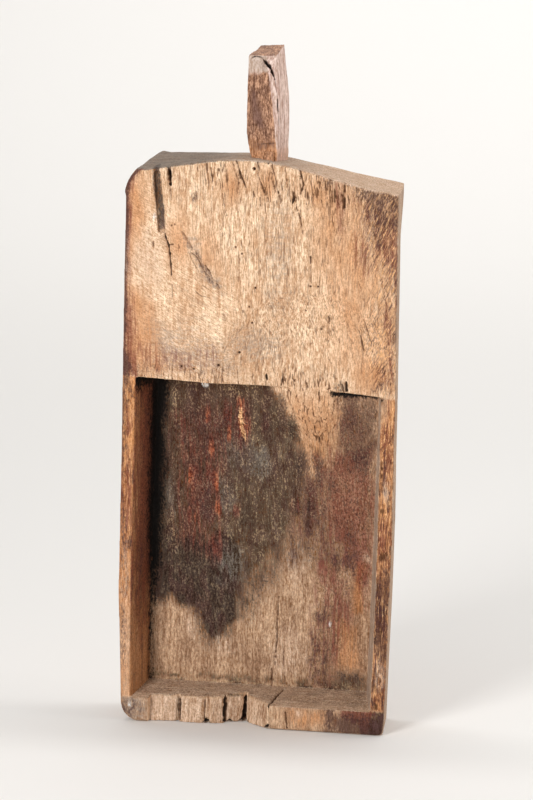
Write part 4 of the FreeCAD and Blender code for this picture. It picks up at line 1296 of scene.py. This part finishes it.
def handle_finish(name, settings):
    """Smooth rubbed sides, a rough brown front, a pale sawn bevel and orange fibres at the foot."""
    wood = WoodFinish(name, bend=4.0)
    fibre = wood.noise((1.1, 1.1, 10), 1, 3)
    strand = wood.noise((2.6, 2.6, 36), 2, 3)
    speck = wood.noise((1.5, 1.5, 2.6), 3, 3, 0.65)
    cloud = wood.noise((7, 7, 14), 4, 3)
    rubbed = wood.blend(rgb(settings.rubbed_dark), rgb(settings.rubbed_light),
                        (fibre * 0.35 + strand * 0.65).between(0.2, 0.8))
    rough = wood.blend(rgb(settings.rough_dark), rgb(settings.rough_light),
                       (fibre * 0.3 + cloud * 0.4 + speck * 0.3).between(0.2, 0.8))
    colour = wood.blend(rubbed, rough, wood.ragged(wood.marked("rough"), speck, 0.5))
    layers = (
        ("sawn", settings.sawn, cloud, 0.5, 0.85),
        ("amber", settings.amber, strand * 0.5 + fibre * 0.5, 1.0, 0.8),
        ("dusk", settings.dusk, cloud * 0.4 + speck * 0.6, 1.0, 0.8),
        # Painted shade: the open splits darkened to black.
        ("cut", settings.grime, speck, 0.35, 0.95),
    )
    for mark, tint, grain, spread, strength in layers:
        colour = wood.blend(colour, rgb(tint), wood.ragged(wood.marked(mark), grain, spread) * strength)
    value = (fibre - 0.5) * 0.5 + (speck - 0.5) * wood.swap_number(0.4, 0.85, wood.marked("rough")) + 1.0
    colour = wood.shade(colour, value)
    return wood.finish(colour, speck * 0.2 + 0.55, fibre * 0.6 + speck * 0.4, 0.3)


class DUGOUT_OT_handle(Operator):
    """Build the worn stick handle over its solid"""

    bl_idname = "dugout.handle"
    bl_label = "Worn Handle"

    def execute(self, context):
        settings = context.scene.dugout_handle
        handle = WorkedCopy("handle", "worn_handle", settings.detail)
        front, top = shape_handle(handle, settings)
        paint_handle(handle, front, top)
        for split in HANDLE_SPLITS:
            handle.split(*split, *sight_plane())
        piece = handle.finish(settings.triangles)
        piece.data.materials.append(handle_finish("handle_wood", settings))
        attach(piece, "root")
        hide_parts("handle")
        return {"FINISHED"}


class DUGOUT_OT_wedge(Operator):
    """Build the split wedge that tightens the handle"""

    bl_idname = "dugout.wedge"
    bl_label = "Split Wedge"

    def execute(self, context):
        settings = context.scene.dugout_handle
        wedge = WorkedCopy("handle_wedge", "split_wedge", WEDGE_DETAIL)
        p = wedge.points
        wedge.press(0.3 * noise(p, (1.6, 1.6, 9), 51) - 0.1)
        wedge.mark("amber", 0.5 + 0.4 * noise(p, (3, 3, 12), 52))
        wedge.mark("rough", np.ones(len(p)))
        piece = wedge.finish(WEDGE_TRIANGLES)
        piece.data.materials.append(handle_finish("wedge_wood", settings))
        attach(piece, "root")
        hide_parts("handle_wedge")
        return {"FINISHED"}


# Floor, lights and camera, in metres

FLOOR_HALF, FLOOR_FRONT, FLOOR_BACK = 9.0, -7.0, 3.0
FLOOR_CURVE, FLOOR_RISE = 3.5, 2.0
FLOOR_DROP = -0.3 * MM
TRAY_MIDDLE = (0.0, 0.0, 0.3)

# Lights: name, place, width and height, setting of the power, aim
LIGHTS = (
    ("key_light", (-0.95, -2.35, 1.1), (0.8, 0.8), "key_power", TRAY_MIDDLE),
    ("side_light", (2.0, 0.15, 0.9), (1.2, 1.4), "side_power", TRAY_MIDDLE),
    ("top_light", (0.0, 0.5, 3.6), (3.0, 0.6), "top_power", (0.0, 2.4, 0.6)),
    ("backdrop_light", (0.0, 3.4, 3.4), (6.0, 0.8), "backdrop_power", (0.0, 6.2, 0.4)),
)
FILM_SIDE = 36.0
SIGHT_END = 60.0


def only(kind, geometry):
    return [part for part in geometry if isinstance(part, kind)]


def sweep_floor(settings):
    """A wide pale floor that curves up into a backdrop far behind the tray."""
    sweep = bmesh.new()
    left = sweep.verts.new((-FLOOR_HALF, FLOOR_FRONT, 0.0))
    right = sweep.verts.new((FLOOR_HALF, FLOOR_FRONT, 0.0))
    edge = sweep.edges.new((left, right))
    strip = bmesh.ops.extrude_edge_only(sweep, edges=[edge])["geom"]
    moved, lead = only(bmesh.types.BMVert, strip), only(bmesh.types.BMEdge, strip)
    bmesh.ops.translate(sweep, verts=moved, vec=(0, FLOOR_BACK - FLOOR_FRONT, 0))
    turned = bmesh.ops.spin(sweep, geom=moved + lead, cent=(0, FLOOR_BACK, FLOOR_CURVE),
                            axis=(1, 0, 0), angle=math.radians(90), steps=24)["geom_last"]
    strip = bmesh.ops.extrude_edge_only(sweep, edges=only(bmesh.types.BMEdge, turned))["geom"]
    bmesh.ops.translate(sweep, verts=only(bmesh.types.BMVert, strip), vec=(0, 0, FLOOR_RISE))
    bmesh.ops.recalc_face_normals(sweep, faces=sweep.faces)
    mesh = bpy.data.meshes.new("floor")
    sweep.to_mesh(mesh)
    sweep.free()
    mesh.polygons.foreach_set("use_smooth", np.ones(len(mesh.polygons), bool))
    floor = bpy.data.objects.new("floor", mesh)
    floor.location.z = FLOOR_DROP
    bpy.context.scene.collection.objects.link(floor)
    material = bpy.data.materials.new("pale_floor")
    material.use_nodes = True
    shader = material.node_tree.nodes["Principled BSDF"]
    shader.inputs["Base Color"].default_value = rgb(settings.floor)
    shader.inputs["Roughness"].default_value = 0.9
    mesh.materials.append(material)


def hang_light(name, place, size, power, target):
    lamp = bpy.data.lights.new(name, "AREA")
    lamp.shape = "RECTANGLE"
    lamp.size, lamp.size_y = size
    lamp.energy = power
    light = bpy.data.objects.new(name, lamp)
    light.location = place
    light.rotation_euler = (Vector(target) - Vector(place)).to_track_quat("-Z", "Y").to_euler()
    bpy.context.scene.collection.objects.link(light)


class DUGOUT_OT_stage(Operator):
    """Set the floor, the lights and the camera"""

    bl_idname = "dugout.stage"
    bl_label = "Stage"

    def execute(self, context):
        settings = context.scene.dugout_stage
        scene = context.scene
        sweep_floor(settings)
        for name, place, size, power, aim in LIGHTS:
            hang_light(name, place, size, getattr(settings, power), aim)
        world = bpy.data.worlds.new("room")
        world.use_nodes = True
        background = world.node_tree.nodes["Background"]
        background.inputs["Color"].default_value = (1.0, 1.0, 1.0, 1.0)
        background.inputs["Strength"].default_value = settings.room_light
        scene.world = world
        scene.view_settings.view_transform = "Standard"

        view = bpy.data.cameras.new("camera")
        view.lens = settings.lens
        view.sensor_width = FILM_SIDE
        view.clip_end = SIGHT_END
        camera = bpy.data.objects.new("camera", view)
        back = Vector((math.sin(settings.azimuth) * math.cos(settings.elevation),
                       -math.cos(settings.azimuth) * math.cos(settings.elevation),
                       math.sin(settings.elevation)))
        camera.location = Vector(settings.target) + back * settings.distance
        camera.rotation_euler = (-back).to_track_quat("-Z", "Y").to_euler()
        scene.collection.objects.link(camera)
        scene.camera = camera
        return {"FINISHED"}


class DUGOUT_PT_panel(Panel):
    """Lists the pieces of the tray and the stage"""

    bl_idname = "DUGOUT_PT_panel"
    bl_label = "Dugout Tray"
    bl_space_type = "VIEW_3D"
    bl_region_type = "UI"
    bl_category = "Dugout Tray"

    def draw(self, context):
        for group, operators in (("dugout_tray", (DUGOUT_OT_tray,)),
                                 ("dugout_handle", (DUGOUT_OT_handle, DUGOUT_OT_wedge)),
                                 ("dugout_stage", (DUGOUT_OT_stage,))):
            box = self.layout.box()
            settings = getattr(context.scene, group)
            for name in settings.bl_rna.properties.keys():
                if name not in ("rna_type", "name"):
                    box.prop(settings, name)
            for operator in operators:
                box.operator(operator.bl_idname)


CLASSES = (TraySettings, HandleSettings, StageSettings, DUGOUT_OT_tray, DUGOUT_OT_handle,
           DUGOUT_OT_wedge, DUGOUT_OT_stage, DUGOUT_PT_panel)


def register():
    for item in CLASSES:
        bpy.utils.register_class(item)
    bpy.types.Scene.dugout_tray = PointerProperty(type=TraySettings)
    bpy.types.Scene.dugout_handle = PointerProperty(type=HandleSettings)
    bpy.types.Scene.dugout_stage = PointerProperty(type=StageSettings)


def unregister():
    del bpy.types.Scene.dugout_stage
    del bpy.types.Scene.dugout_handle
    del bpy.types.Scene.dugout_tray
    for item in reversed(CLASSES):
        bpy.utils.unregister_class(item)


def main():
    register()
    bpy.ops.dugout.tray()
    bpy.ops.dugout.handle()
    bpy.ops.dugout.wedge()
    bpy.ops.dugout.stage()


if __name__ == "__main__":
    main()
